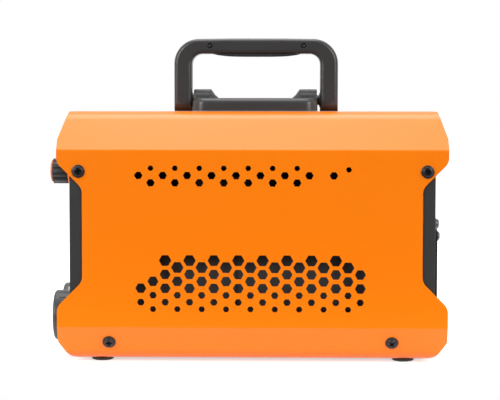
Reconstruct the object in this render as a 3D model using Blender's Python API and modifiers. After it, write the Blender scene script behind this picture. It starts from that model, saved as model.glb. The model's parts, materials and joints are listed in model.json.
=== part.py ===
"""Stick welding inverter: a sheet-metal case with a folding handle, two weld sockets,
a current knob and a fan, and the power electronics inside. Metres, +Z up, front at -X."""

import math

import bmesh
import bpy
from mathutils import Matrix, Vector

MM = 0.001

# Fits
GAP = 0.3 * MM  # between pieces that seat on each other
RUN = 0.2 * MM  # round a shaft or pin that turns
OVERRUN = 10 * MM  # of a cutter past what it cuts
OVERLAP = 1 * MM  # of a strut or bore into what it joins
JOINT_MARK = 10 * MM  # drawn size of a joint's empty
ARC_STEP = math.radians(20)  # longest step on a rounded corner

# Case cover: one orange sheet wrapped over the top, sides and lower edges
SHEET = 1.2 * MM
CASE_LENGTH = 305.8 * MM
CASE_WIDTH = 130 * MM
CASE_HEIGHT = 195.2 * MM
TOP_WIDTH = 76 * MM  # flat top between the upper slopes
UPPER_DROP = 30.1 * MM  # height of each upper slope
LOWER_RISE = 26.1 * MM  # height of each lower slope
LOWER_INSET = 10.9 * MM
TOP_RADIUS = 20 * MM
FOLD_RADIUS = 2.5 * MM
LOWER_RADIUS = 14 * MM
LIP_WIDTH = 24 * MM  # of the cover under the case, from the lower slope
NOTCH_DEPTH = 20 * MM  # recess in the side between the upper and lower flaps
UPPER_FLAP_HEIGHT = 39.8 * MM
LOWER_FLAP_HEIGHT = 42.2 * MM
TOP_SETBACK = 6.7 * MM
TOP_SETBACK_DROP = 21.3 * MM
LOWER_CORNER = 8.2 * MM
LOWER_CORNER_RISE = 14.2 * MM
NOTCH_RADIUS = 10 * MM
CORNER_RADIUS = 6 * MM

# Hexagonal vents: widths across flats, and rows from the lowest up, each from a first half column
VENT_PITCH = 19.05 * MM
FINE_VENT = 3.7 * MM
UPPER_VENT = 5.3 * MM
LOWEST_VENT = 4.1 * MM
SMALL_VENT = 4.8 * MM
MIDDLE_VENT = 7.1 * MM
LARGE_VENT = 8.1 * MM
UPPER_VENT_DROP = 55.5 * MM  # lowest row of the upper field, below the case top
UPPER_VENT_STEP = 5.7 * MM
UPPER_VENT_SHIFT = -3.0 * MM
UPPER_COLUMNS = (-8, -9, -8)
UPPER_COUNTS = (7, 9, 7)
UPPER_WIDTHS = (UPPER_VENT, UPPER_VENT, FINE_VENT)
LONE_VENT_X = 75.3 * MM
LONE_VENT_DROP = 45.1 * MM
LOWER_VENT_RISE = 40.8 * MM  # lowest row of the lower field, above the underside
LOWER_VENT_STEP = 5.45 * MM
LOWER_VENT_SHIFT = -1.2 * MM
LOWER_COLUMNS = (-8, -9, -8, -9, -8, -7, -6, -7)
LOWER_COUNTS = (9, 10, 9, 10, 9, 9, 8, 8)
LOWER_WIDTHS = (LOWEST_VENT, *[SMALL_VENT] * 2, *[MIDDLE_VENT] * 3, *[LARGE_VENT] * 2)

# Base tray and feet
TRAY_SHEET = 1.2 * MM
TRAY_FLANGE = 20 * MM  # height of the folded sides
TRAY_END_GAP = 1.5 * MM
FOOT_HEIGHT = 2.6 * MM
FOOT_RADIUS = 9.5 * MM
FOOT_TIP_RADIUS = 6.5 * MM
FOOT_BULGE = 0.6 * MM
FOOT_NECK_RADIUS = 3.6 * MM
FOOT_POINT_RADIUS = 2.6 * MM
FOOT_BARB_RADIUS = 4.8 * MM
FOOT_BARB_LENGTH = 3 * MM
FOOT_SETBACK = 33.3 * MM  # from the case's end
FOOT_INSET = 14.6 * MM  # from the edge of the flat underside

# Cover screws
SCREW_HEAD_RADIUS = 5.15 * MM
SCREW_HEAD_HEIGHT = 2.9 * MM
SCREW_RADIUS = 2.4 * MM
SCREW_LENGTH = 9 * MM
UPPER_SCREW_SETBACK = 16.9 * MM  # from the case's end
UPPER_SCREW_SHIFT = 0.4 * MM
UPPER_SCREW_DROP = 46.6 * MM  # below the case top
LOWER_SCREW_SETBACK = 41.9 * MM
LOWER_SCREW_SHIFT = -1.4 * MM
LOWER_SCREW_RISE = 14.4 * MM  # up the lower slope from the underside

# End panels, set back between the cover's flaps
PANEL_SETBACK = 10.1 * MM
PANEL_WALL = 2.5 * MM
PANEL_RIM = 2 * MM
PANEL_DEPTH = 16 * MM
PANEL_SCREW_RADIUS = 1.5 * MM
PANEL_SCREW_HEAD_RADIUS = 2.7 * MM
PANEL_SCREW_HEAD = 2.9 * MM
PANEL_SCREW_LENGTH = 9 * MM
PANEL_SCREW_Y = 50 * MM
PANEL_SCREW_RISE = 55 * MM  # above the underside
PANEL_BOSS_RADIUS = 4 * MM
PANEL_BOSS_LENGTH = 10 * MM

# Handle and the block that carries it
HANDLE_X = 1.9 * MM
BLOCK_SHIFT = -0.6 * MM  # from the handle's middle
HANDLE_WIDTH = 132.6 * MM
HANDLE_LEG = 14.4 * MM
HANDLE_DEPTH = 17.6 * MM
HANDLE_RISE = 49.9 * MM  # from the pivot to the top of the grip
HANDLE_ARCH = 0.9 * MM
GRIP_THICKNESS = 12.6 * MM
HANDLE_OUTER_RADIUS = 20 * MM
HANDLE_INNER_RADIUS = 8.5 * MM
HANDLE_ROUNDING = 3 * MM
PIVOT_LIFT = 0.4 * MM  # of the round of legs and barrels above the case top
PIVOT_RADIUS = 4 * MM
PIVOT_LENGTH = 22 * MM
PIVOT_BOSS_RADIUS = 5.6 * MM
PIVOT_BOSS = 0.7 * MM
BLOCK_END_GAP = 1.7 * MM  # between the block and a leg
BLOCK_DEPTH = 56 * MM
BLOCK_HEIGHT = 10.4 * MM
BLOCK_CORNER = 10 * MM
BLOCK_ROUNDING = 3 * MM
BARREL_LENGTH = 14 * MM
BARREL_TAPER = 5.5 * MM
PAD_END = 16.15 * MM  # from a leg to the pad
PAD_DEPTH = 12 * MM
PAD_INLAY = 3 * MM
PAD_BULGE = 2.2 * MM
PAD_X = 0.5 * MM
GRIP_SCREW_OFFSET = 2 * MM  # beyond the pad's end
GRIP_SCREW_RISE = 43.8 * MM
GRIP_SCREW_RADIUS = 1.9 * MM
GRIP_SCREW_LENGTH = 11 * MM
GRIP_SCREW_RECESS = 1.2 * MM

# Front controls
KNOB_Y = -24 * MM
KNOB_DROP = 47.8 * MM  # below the case top
KNOB_RADIUS = 10.6 * MM
KNOB_FLUTES = 12
KNOB_FLUTE_DEPTH = 0.7 * MM
KNOB_CORE_RADIUS = 8.3 * MM
KNOB_CAP_RADIUS = 8.9 * MM
KNOB_SKIRT_RADIUS = 11 * MM
KNOB_LIFT = 2.2 * MM  # off the panel
KNOB_SKIRT = 3.1 * MM
KNOB_GRIP = 12.6 * MM
KNOB_DOME = 2.1 * MM
KNOB_BORE = 11 * MM
SHAFT_RADIUS = 3 * MM
BUSHING_RADIUS = 3.7 * MM
POT_RADIUS = 8 * MM
POT_DEPTH = 6.5 * MM
DISPLAY_Y = 21 * MM
DISPLAY_DROP = 40.3 * MM
DISPLAY_WIDTH = 46 * MM
DISPLAY_HEIGHT = 26 * MM
DISPLAY_PROUD = 1.2 * MM
DIGITS_MARGIN = 2 * MM
DISPLAY_ROUNDING = 1 * MM
LENS_RADIUS = 2.4 * MM
LENS_PROUD = 1.5 * MM
LENS_DROP = 66.3 * MM
LENS_Y = 21 * MM
LENS_SPACING = 20 * MM
BUTTON_RADIUS = 4.6 * MM
BUTTON_PROUD = 2 * MM
BUTTON_TRAVEL = 1 * MM
BUTTON_FLANGE_RADIUS = 6.2 * MM
BUTTON_FLANGE = 1.5 * MM
BUTTON_STEM_RADIUS = 2.5 * MM
BUTTON_DROP = 76.3 * MM
BOARD_SHEET = 1.6 * MM
DISPLAY_BOARD_WIDTH = 94 * MM
DISPLAY_BOARD_HEIGHT = 72 * MM
DISPLAY_BOARD_DROP = 55.3 * MM

# Weld sockets
SOCKET_SPACING = 56 * MM
SOCKET_RISE = 31.5 * MM  # above the underside
SOCKET_RADIUS = 20.1 * MM
SOCKET_REACH = 16.2 * MM
SOCKET_ROUNDING = 2 * MM
SOCKET_MOUTH_RADIUS = 13 * MM
SOCKET_MOUTH_DEPTH = 6.6 * MM
SOCKET_SLEEVE_RADIUS = 15 * MM
SOCKET_SLEEVE = 14 * MM
CONTACT_RADIUS = 10.2 * MM
CONTACT_BORE_RADIUS = 6.6 * MM
CONTACT_BORE = 22 * MM
CONTACT_FLANGE_RADIUS = 12.5 * MM
CONTACT_FLANGE = 2.7 * MM
STUD_RADIUS = 5 * MM
STUD_LENGTH = 13 * MM

# Rear panel: fan, guard, earth bolt, power switch and cable gland
FAN_SIZE = 80 * MM
FAN_DEPTH = 25 * MM
FAN_RISE = 60.9 * MM  # above the underside
FAN_BORE_RADIUS = 37.5 * MM
FAN_CORNER = 5 * MM
FAN_HOLE_SPACING = 71.5 * MM
FAN_HUB_RADIUS = 15 * MM
FAN_HUB_ROUNDING = 1 * MM
FAN_HUB_PLATE = 3 * MM
FAN_STRUT = 5 * MM
FAN_STRUTS = 4
FAN_BLADES = 7
FAN_BLADE_ROOT = 13 * MM  # inside the hub
FAN_BLADE_TIP = 35.5 * MM
FAN_BLADE_CHORD = 18 * MM
FAN_BLADE_SHEET = 1.6 * MM
FAN_BLADE_PITCH = math.radians(38)
FAN_SHAFT_RADIUS = 1.5 * MM
FAN_ROTOR_DEPTH = 19 * MM
FAN_ROTOR_CAP = 2 * MM
GUARD_SIZE = 84 * MM
GUARD_SHEET = 3.2 * MM
GUARD_CORNER = 8 * MM
GUARD_RINGS = 4
GUARD_ARCS = 4
GUARD_RIB = 3.4 * MM
GUARD_SLOT = 5.2 * MM
GUARD_CENTRE_RADIUS = 4 * MM
GUARD_SCREW_RADIUS = 1.9 * MM
GUARD_SCREW_HEAD_RADIUS = 4 * MM
GUARD_SCREW_HEAD = 2.2 * MM
GUARD_SCREW_LENGTH = 20 * MM
EARTH_Y = -52 * MM
EARTH_DROP = 87.8 * MM
EARTH_HEAD_RADIUS = 4.7 * MM
EARTH_HEAD = 3.5 * MM
EARTH_RADIUS = 2.4 * MM
EARTH_LENGTH = 10 * MM
SWITCH_Y = -20 * MM
SWITCH_DROP = 24.3 * MM
SWITCH_WIDTH = 24 * MM
SWITCH_HEIGHT = 32 * MM
SWITCH_BEZEL = 2 * MM
SWITCH_BEZEL_RIM = 2 * MM
SWITCH_DEPTH = 16 * MM
SWITCH_WALL = 1.5 * MM
SWITCH_FLOOR = 4 * MM
ROCKER_TILT = math.radians(10)
ROCKER_CROWN = 3 * MM  # middle of the rocker above its pivot
ROCKER_SKIRT = 2.4 * MM
ROCKER_END_GAP = 1 * MM
ROCKER_TIP = 1 * MM
GLAND_Y = 24 * MM
GLAND_DROP = 26.3 * MM
GLAND_RADIUS = 11.5 * MM
GLAND_ROUNDING = 1 * MM
GLAND_REACH = 9.3 * MM
GLAND_FLANGE = 4 * MM
GLAND_TIP_RADIUS = 6.8 * MM
GLAND_NECK_RADIUS = 8 * MM
GLAND_BORE_RADIUS = 4.5 * MM
GLAND_TAIL = 12 * MM
GLAND_NUT_RADIUS = 12.5 * MM
GLAND_NUT = 5 * MM

# Power electronics
HEATSINK_WIDTH = 88 * MM
HEATSINK_HEIGHT = 86.5 * MM
HEATSINK_BASE = 6 * MM
HEATSINK_FINS = 8
HEATSINK_FIN = 2.2 * MM
HEATSINK_FIN_LENGTH = 56 * MM
DIODE_SINK_LENGTH = 97 * MM
SINK_SPLIT = 0.8 * MM
SINK_FRONT = 33 * MM  # from the front panel to the first heatsink
SINK_FAN_GAP = 23 * MM
BOARD_WIDTH = 104 * MM
BOARD_FRONT = 25 * MM  # from the front panel to the power board
BOARD_FAN_GAP = 14.8 * MM
CONTROL_HEIGHT = 70 * MM
CONTROL_FRONT = 12.8 * MM  # from the power board's front edge
CONTROL_REAR = 10.2 * MM
CONTROL_Y = 38 * MM
CORE_Y = -12 * MM
CORE_DEPTH = 30 * MM
CORE_HEIGHT = 52 * MM
CORE_LEG = 9 * MM
CORE_WINDOW = 12 * MM
CORE_MIDDLE = 16 * MM
WINDING_WALL = 11 * MM
WINDING_CORNER = 5 * MM
CHOKE_RADIUS = 26 * MM
CHOKE_BORE_RADIUS = 12 * MM
CHOKE_HEIGHT = 24 * MM
CHOKE_ROUNDING = 3 * MM
CAPACITOR_Y = -14 * MM
CAPACITOR_SPACING = 36 * MM
CAPACITOR_RADIUS = 15 * MM
CAPACITOR_HEIGHT = 46 * MM
CAPACITOR_ROUNDING = 2 * MM
BAR_SHEET = 3 * MM
BAR_BEND = 4.2 * MM
BAR_WIDTH = 18 * MM
BAR_FOOT = 22 * MM
BAR_TAIL = 9 * MM  # below the stud
FREE_SHARES = (9.8, 7, 8, 17.2)  # of the board's free length: before each component, and behind

# Places that follow from the sizes above
CASE_BOTTOM = FOOT_HEIGHT
CASE_TOP = CASE_BOTTOM + CASE_HEIGHT
SIDE_Y = CASE_WIDTH / 2
UNDERSIDE_Y = SIDE_Y - LOWER_INSET
LOWER_SLOPE = math.atan2(LOWER_INSET, LOWER_RISE)  # from upright
TRAY_BOTTOM = CASE_BOTTOM + SHEET + GAP
TRAY_TOP = TRAY_BOTTOM + TRAY_SHEET
FACE_X = CASE_LENGTH / 2 - PANEL_SETBACK  # outer face of either end panel
PANEL_INSET = SHEET + GAP
PANEL_FLOOR = TRAY_TOP + GAP
PANEL_BACK = PANEL_WALL + GAP  # where pieces seat behind a panel's face
KNOB_TIP = KNOB_LIFT + KNOB_SKIRT + KNOB_GRIP + KNOB_DOME
CASE_X = (FACE_X + KNOB_TIP - CASE_LENGTH / 2) / 2  # centres the whole part on X = 0
BARREL_RADIUS = HANDLE_DEPTH / 2
PIVOT_Z = CASE_TOP + PIVOT_LIFT + BARREL_RADIUS
BLOCK_X = HANDLE_X + BLOCK_SHIFT
HANDLE_INSIDE = HANDLE_WIDTH - 2 * HANDLE_LEG
BLOCK_WIDTH = HANDLE_INSIDE - 2 * BLOCK_END_GAP
PAD_LENGTH = HANDLE_INSIDE - 2 * PAD_END
PANEL_SCREW_Z = CASE_BOTTOM + PANEL_SCREW_RISE
SOCKET_Z = CASE_BOTTOM + SOCKET_RISE
FAN_Z = CASE_BOTTOM + FAN_RISE
KNOB_Z = CASE_TOP - KNOB_DROP
BUTTON_Z = CASE_TOP - BUTTON_DROP
DISPLAY_Z = CASE_TOP - DISPLAY_DROP
DISPLAY_BOARD_Z = CASE_TOP - DISPLAY_BOARD_DROP
LENS_Z = CASE_TOP - LENS_DROP
EARTH_Z = CASE_TOP - EARTH_DROP
SWITCH_Z = CASE_TOP - SWITCH_DROP
GLAND_Z = CASE_TOP - GLAND_DROP
BOARD_SEAT = PANEL_BACK + POT_DEPTH + GAP  # display board, from the panel's face
SINK_TOP = TRAY_TOP + GAP + HEATSINK_HEIGHT
BOARD_Z = SINK_TOP + GAP + BOARD_SHEET / 2
BOARD_TOP = BOARD_Z + BOARD_SHEET / 2 + GAP  # seat of what stands on the power board
FAN_INNER = FACE_X - PANEL_BACK - FAN_DEPTH  # the fan's face towards the inside
SINK_X = -FACE_X + SINK_FRONT
SWITCH_SINK_LENGTH = FAN_INNER - SINK_FAN_GAP - SINK_X - DIODE_SINK_LENGTH - SINK_SPLIT
BOARD_X = -FACE_X + BOARD_FRONT  # the power board's front edge
BOARD_LENGTH = FAN_INNER - BOARD_FAN_GAP - BOARD_X
CONTROL_LENGTH = BOARD_LENGTH - CONTROL_FRONT - CONTROL_REAR
CORE_WIDTH = 2 * CORE_LEG + 2 * CORE_WINDOW + CORE_MIDDLE
BANK_LENGTH = CAPACITOR_SPACING + 2 * CAPACITOR_RADIUS
FREE_LENGTH = BOARD_LENGTH - 2 * CHOKE_RADIUS - CORE_WIDTH - BANK_LENGTH
FREE_GAPS = [FREE_LENGTH * share / sum(FREE_SHARES) for share in FREE_SHARES]
CHOKE_X = BOARD_X + FREE_GAPS[0] + CHOKE_RADIUS
CORE_X = CHOKE_X + CHOKE_RADIUS + FREE_GAPS[1] + CORE_WIDTH / 2
CAPACITOR_X = CORE_X + CORE_WIDTH / 2 + FREE_GAPS[2] + BANK_LENGTH / 2

# Turns that point a piece's own Z along the case
TO_FRONT = (0, -math.pi / 2, 0)
TO_REAR = (0, math.pi / 2, 0)
TO_LEFT = (math.pi / 2, 0, 0)  # local Z to -Y, the photographed side
TO_RIGHT = (-math.pi / 2, 0, 0)
SECTION = (math.pi / 2, 0, math.pi / 2)  # local X, Y, Z to Y, Z, X
ELEVATION = (math.pi / 2, 0, 0)  # local X, Y to X, Z


def clear_scene():
    for old in list(bpy.data.objects):
        bpy.data.objects.remove(old)


def new_collection(name):
    collection = bpy.data.collections.new(name)
    bpy.context.scene.collection.children.link(collection)
    return collection


def new_finish(name, colour, roughness, metallic=0.0):
    finish = bpy.data.materials.new(name)
    finish.use_nodes = True
    shader = finish.node_tree.nodes["Principled BSDF"]
    shader.inputs["Base Color"].default_value = (*colour, 1)
    shader.inputs["Roughness"].default_value = roughness
    shader.inputs["Metallic"].default_value = metallic
    return finish


clear_scene()
PARTS = new_collection("stick_welding_inverter")
CUTTERS = new_collection("cutters")

ORANGE = new_finish("orange_powder_coat", (1.0, 0.22, 0.002), 0.45)
GREY_PLASTIC = new_finish("dark_grey_plastic", (0.045, 0.045, 0.043), 0.5)
BLACK_PLASTIC = new_finish("black_plastic", (0.02, 0.02, 0.021), 0.45)
ORANGE_PLASTIC = new_finish("orange_plastic", (0.9, 0.14, 0.02), 0.4)
RUBBER = new_finish("black_rubber", (0.012, 0.012, 0.012), 0.8)
BLACK_STEEL = new_finish("black_steel", (0.03, 0.03, 0.034), 0.35, 1.0)
STEEL = new_finish("zinc_steel", (0.5, 0.5, 0.5), 0.35, 1.0)
BRASS = new_finish("brass", (0.6, 0.42, 0.14), 0.3, 1.0)
COPPER = new_finish("copper", (0.6, 0.24, 0.12), 0.35, 1.0)
BLACK_ALUMINIUM = new_finish("black_aluminium", (0.02, 0.02, 0.02), 0.5, 0.6)
FERRITE = new_finish("ferrite", (0.03, 0.03, 0.032), 0.6)
CIRCUIT_BOARD = new_finish("circuit_board", (0.01, 0.03, 0.015), 0.5)
SMOKED = new_finish("smoked_window", (0.01, 0.01, 0.012), 0.1)
GREEN_LENS = new_finish("green_lens", (0.05, 0.4, 0.08), 0.2)
YELLOW_LENS = new_finish("yellow_lens", (0.6, 0.4, 0.03), 0.2)


def new_empty(name, at, parent=None):
    """An empty on a joint's axis, at a place in the case's frame."""
    empty = bpy.data.objects.new(name, None)
    empty.parent = parent
    empty.location = Vector(at) - (Vector() if parent in (None, CASE) else parent.location)
    empty.empty_display_size = JOINT_MARK
    PARTS.objects.link(empty)
    return empty


CASE = None
CASE = new_empty("case", (CASE_X, 0, 0))


def put(name, mesh, at, turn, parent, collection):
    """An object at a place in the case's frame."""
    piece = bpy.data.objects.new(name, mesh)
    piece.parent = parent or CASE
    piece.location = Vector(at) - (parent.location if parent else Vector())
    piece.rotation_euler = turn
    collection.objects.link(piece)
    return piece


def add(name, mesh, finish, at=(0, 0, 0), turn=(0, 0, 0), parent=None):
    piece = put(name, mesh, at, turn, parent, PARTS)
    mesh.materials.append(finish)
    mesh.shade_smooth()
    mesh.set_sharp_from_angle(angle=math.radians(35))
    return piece


def helper(name, mesh, at=(0, 0, 0), turn=(0, 0, 0), parent=None):
    """A shape that only cuts or joins others."""
    piece = put(name, mesh, at, turn, parent, CUTTERS)
    piece.hide_render = True
    piece.display_type = "WIRE"
    return piece


def modify(piece, kind, **settings):
    modifier = piece.modifiers.new(kind.lower(), kind)
    for setting, value in settings.items():
        setattr(modifier, setting, value)
    return modifier


def cut(piece, *cutters):
    for cutter in cutters:
        modify(piece, "BOOLEAN", operation="DIFFERENCE", object=cutter)


def join(piece, *others):
    for other in others:
        modify(piece, "BOOLEAN", operation="UNION", object=other)


def soften(piece, width, segments=2):
    modify(
        piece,
        "BEVEL",
        width=width,
        segments=segments,
        limit_method="ANGLE",
        angle_limit=math.radians(40),
    )


def mesh_from(shape, name):
    mesh = bpy.data.meshes.new(name)
    shape.to_mesh(mesh)
    shape.free()
    return mesh


def box(size, name="box"):
    shape = bmesh.new()
    bmesh.ops.create_cube(shape, size=1)
    bmesh.ops.scale(shape, vec=size, verts=shape.verts)
    return mesh_from(shape, name)


def rod(radius, length, segments=24, name="rod", tip=None):
    """A cylinder along Z, centred, or a cone where tip is its radius at +Z."""
    shape = bmesh.new()
    bmesh.ops.create_cone(
        shape,
        cap_ends=True,
        segments=segments,
        radius1=radius,
        radius2=radius if tip is None else tip,
        depth=length,
    )
    return mesh_from(shape, name)


def fillet(before, corner, after, radius):
    """The points of a rounded corner between two straight runs."""
    back = (before - corner).normalized()
    ahead = (after - corner).normalized()
    turn = math.pi - back.angle(ahead)
    if radius <= 0 or turn < math.radians(1):
        return [corner]
    centre = corner + (back + ahead).normalized() * radius / math.cos(turn / 2)
    spoke = corner + back * radius * math.tan(turn / 2) - centre
    sweep = math.copysign(turn, (corner - before).cross(after - corner))
    steps = math.ceil(turn / ARC_STEP)
    return [centre + Matrix.Rotation(sweep * i / steps, 2) @ spoke for i in range(steps + 1)]


def rounded(corners, closed=True):
    """An outline from (u, v, radius) corners. An open one keeps its two ends."""
    points = [Vector(corner[:2]) for corner in corners]
    outline = []
    for i, point in enumerate(points):
        if not closed and i in (0, len(points) - 1):
            outline.append(point)
            continue
        ahead = points[(i + 1) % len(points)]
        outline += fillet(points[i - 1], point, ahead, corners[i][2])
    return outline


def circle(radius, segments, centre=(0, 0)):
    angles = [2 * math.pi * i / segments for i in range(segments)]
    return [Vector(centre) + radius * Vector((math.cos(a), math.sin(a))) for a in angles]


def rectangle(width, height, radius=0, centre=(0, 0)):
    u, v = width / 2, height / 2
    corners = [(u, v), (-u, v), (-u, -v), (u, -v)]
    return rounded([(centre[0] + a, centre[1] + b, radius) for a, b in corners])


def prism(outlines, depth, name="prism"):
    """Closed outlines filled between, the later ones as holes, extruded along Z."""
    curve = bpy.data.curves.new(name, "CURVE")
    curve.dimensions = "2D"
    curve.fill_mode = "BOTH"
    curve.extrude = depth / 2
    for outline in outlines:
        spline = curve.splines.new("POLY")
        spline.points.add(len(outline) - 1)
        spline.use_cyclic_u = True
        for point, (u, v) in zip(spline.points, outline):
            point.co = (u, v, 0, 1)
    source = bpy.data.objects.new(name, curve)
    CUTTERS.objects.link(source)
    graph = bpy.context.evaluated_depsgraph_get()
    mesh = bpy.data.meshes.new_from_object(source.evaluated_get(graph))
    bpy.data.objects.remove(source)
    shape = bmesh.new()
    shape.from_mesh(mesh)
    bmesh.ops.remove_doubles(shape, verts=shape.verts, dist=1e-6)
    bmesh.ops.recalc_face_normals(shape, faces=shape.faces)
    if len(outlines) == 1:
        flat = math.radians(0.5)
        bmesh.ops.dissolve_limit(shape, angle_limit=flat, verts=shape.verts, edges=shape.edges)
    return mesh_from(shape, name)


def profile(points, closed=False, name="profile"):
    """A half section in the XZ plane, for a Screw. It runs down its outer side."""
    shape = bmesh.new()
    verts = [shape.verts.new((r, 0, z)) for r, z in points]
    for start, end in zip(verts, verts[1:]):
        shape.edges.new((start, end))
    if closed:
        shape.edges.new((verts[-1], verts[0]))
    return mesh_from(shape, name)


def turned(name, points, finish, at, turn, closed=False, segments=24, parent=None):
    """A piece turned about its own Z from (radius, height) points."""
    piece = add(name, profile(points, closed, name), finish, at, turn, parent)
    spin(piece, segments)
    return piece


def spin(piece, segments):
    modify(
        piece,
        "SCREW",
        steps=segments,
        render_steps=segments,
        use_merge_vertices=True,
        merge_threshold=1e-5,
        use_smooth_shade=True,
    )


def case_corners(inset, floor):
    """The case's cross-section, set in by a distance, with its underside at floor."""
    slope = math.atan2(UPPER_DROP, SIDE_Y - TOP_WIDTH / 2)
    top = CASE_TOP - inset
    side = SIDE_Y - inset
    shoulder = CASE_TOP - UPPER_DROP - inset * math.tan((math.pi / 2 - slope) / 2)
    knee = CASE_BOTTOM + LOWER_RISE + inset * math.tan(LOWER_SLOPE / 2)
    half_top = TOP_WIDTH / 2 - inset * math.tan(slope / 2)
    half_floor = side - (knee - floor) * math.tan(LOWER_SLOPE)
    half = [
        (half_floor, floor, LOWER_RADIUS - inset),
        (side, knee, max(FOLD_RADIUS - inset, 0)),
        (side, shoulder, max(FOLD_RADIUS - inset, 0)),
        (half_top, top, TOP_RADIUS - inset),
    ]
    return half + [(-y, z, r) for y, z, r in reversed(half)]


def folded_sheet(name, path, length, thickness, finish):
    """A bent sheet: a path in the YZ plane swept along X and thickened inwards."""
    shape = bmesh.new()
    verts = [shape.verts.new((-length / 2, y, z)) for y, z in path]
    edges = [shape.edges.new(pair) for pair in zip(verts, verts[1:])]
    swept = bmesh.ops.extrude_edge_only(shape, edges=edges)["geom"]
    moved = [item for item in swept if isinstance(item, bmesh.types.BMVert)]
    bmesh.ops.translate(shape, vec=(length, 0, 0), verts=moved)
    bmesh.ops.recalc_face_normals(shape, faces=shape.faces)
    piece = add(name, mesh_from(shape, name), finish)
    modify(piece, "SOLIDIFY", thickness=thickness, offset=-1, use_even_offset=True)
    return piece


def side_signs():
    return (("left", -1), ("right", 1))


def end_signs():
    return (("front", -1), ("rear", 1))


def slope_point(height):
    """A point on the cover's lower slope, at a height above its underside."""
    y = UNDERSIDE_Y + height * math.tan(LOWER_SLOPE)
    return y, CASE_BOTTOM + height


def drill(name, radius, at, turn, length, segments=12):
    return helper(name, rod(radius, length, segments, name), at, turn)


def vent_cutter():
    """Every vent as one bar across the case, so that both sides match."""
    shape = bmesh.new()
    upper = CASE_TOP - UPPER_VENT_DROP
    lower = CASE_BOTTOM + LOWER_VENT_RISE
    rows = [(CASE_TOP - LONE_VENT_DROP, LONE_VENT_X, 0, 1, FINE_VENT)]
    for i, row in enumerate(zip(UPPER_COLUMNS, UPPER_COUNTS, UPPER_WIDTHS)):
        rows.append((upper + i * UPPER_VENT_STEP, UPPER_VENT_SHIFT, *row))
    for i, row in enumerate(zip(LOWER_COLUMNS, LOWER_COUNTS, LOWER_WIDTHS)):
        rows.append((lower + i * LOWER_VENT_STEP, LOWER_VENT_SHIFT, *row))
    for height, shift, column, count, width in rows:
        for i in range(count):
            x = shift + (column / 2 + i) * VENT_PITCH
            place = Matrix.Translation((x, height, 0)) @ Matrix.Rotation(math.pi / 2, 4, "Z")
            bmesh.ops.create_cone(
                shape,
                cap_ends=True,
                segments=6,
                radius1=width / math.sqrt(3),
                radius2=width / math.sqrt(3),
                depth=CASE_WIDTH + OVERRUN,
                matrix=place,
            )
    return helper("cut_vents", mesh_from(shape, "cut_vents"), turn=ELEVATION)


def side_outline():
    """The cover seen from the side: slanted top corners, and a notch at each end."""
    half = CASE_LENGTH / 2
    upper = CASE_TOP - UPPER_FLAP_HEIGHT
    lower = CASE_BOTTOM + LOWER_FLAP_HEIGHT
    corners = [
        (half - LOWER_CORNER, CASE_BOTTOM - LOWER_RADIUS, 0),
        (half - LOWER_CORNER, CASE_BOTTOM, CORNER_RADIUS),
        (half, CASE_BOTTOM + LOWER_CORNER_RISE, CORNER_RADIUS),
        (half, lower, NOTCH_RADIUS),
        (half - NOTCH_DEPTH, lower + NOTCH_DEPTH, NOTCH_RADIUS),
        (half - NOTCH_DEPTH, upper - NOTCH_DEPTH, NOTCH_RADIUS),
        (half, upper, NOTCH_RADIUS),
        (half, CASE_TOP - TOP_SETBACK_DROP, CORNER_RADIUS),
        (half - TOP_SETBACK, CASE_TOP, 0),
        (half - TOP_SETBACK, CASE_TOP + TOP_RADIUS, 0),
    ]
    return rounded(corners + [(-x, z, r) for x, z, r in reversed(corners)])


def foot_places():
    for end, x in end_signs():
        for side, y in side_signs():
            yield f"{end}_{side}", x * (CASE_LENGTH / 2 - FOOT_SETBACK), y * (UNDERSIDE_Y - FOOT_INSET)


def make_cover():
    corners = case_corners(0, CASE_BOTTOM)
    lip = UNDERSIDE_Y - LIP_WIDTH
    path = rounded([(lip, CASE_BOTTOM, 0)] + corners + [(-lip, CASE_BOTTOM, 0)], closed=False)
    cover = folded_sheet("case_cover", path, CASE_LENGTH, SHEET, ORANGE)
    ends = helper("cut_cover_ends", prism([side_outline()], CASE_WIDTH + OVERRUN), turn=ELEVATION)
    modify(cover, "BOOLEAN", operation="INTERSECT", object=ends)
    cut(cover, vent_cutter())
    return cover


def make_tray():
    """The base tray lies on the cover's lips and rises inside its lower slopes."""
    corners = case_corners(PANEL_INSET, TRAY_BOTTOM)
    y, z = corners[0][0] + TRAY_FLANGE * math.tan(LOWER_SLOPE), TRAY_BOTTOM + TRAY_FLANGE
    path = rounded([(y, z, 0), corners[0], corners[-1], (-y, z, 0)], closed=False)
    path.reverse()
    tray = folded_sheet("base_tray", path, 2 * (FACE_X - TRAY_END_GAP), TRAY_SHEET, BLACK_STEEL)
    relief = PANEL_DEPTH + TRAY_END_GAP
    for end, sign in end_signs():
        block = box((2 * relief, CASE_WIDTH, CASE_HEIGHT))
        middle = (sign * FACE_X, 0, TRAY_TOP + GAP / 2 + CASE_HEIGHT / 2)
        cut(tray, helper(f"cut_tray_{end}", block, middle))
    return tray


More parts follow.
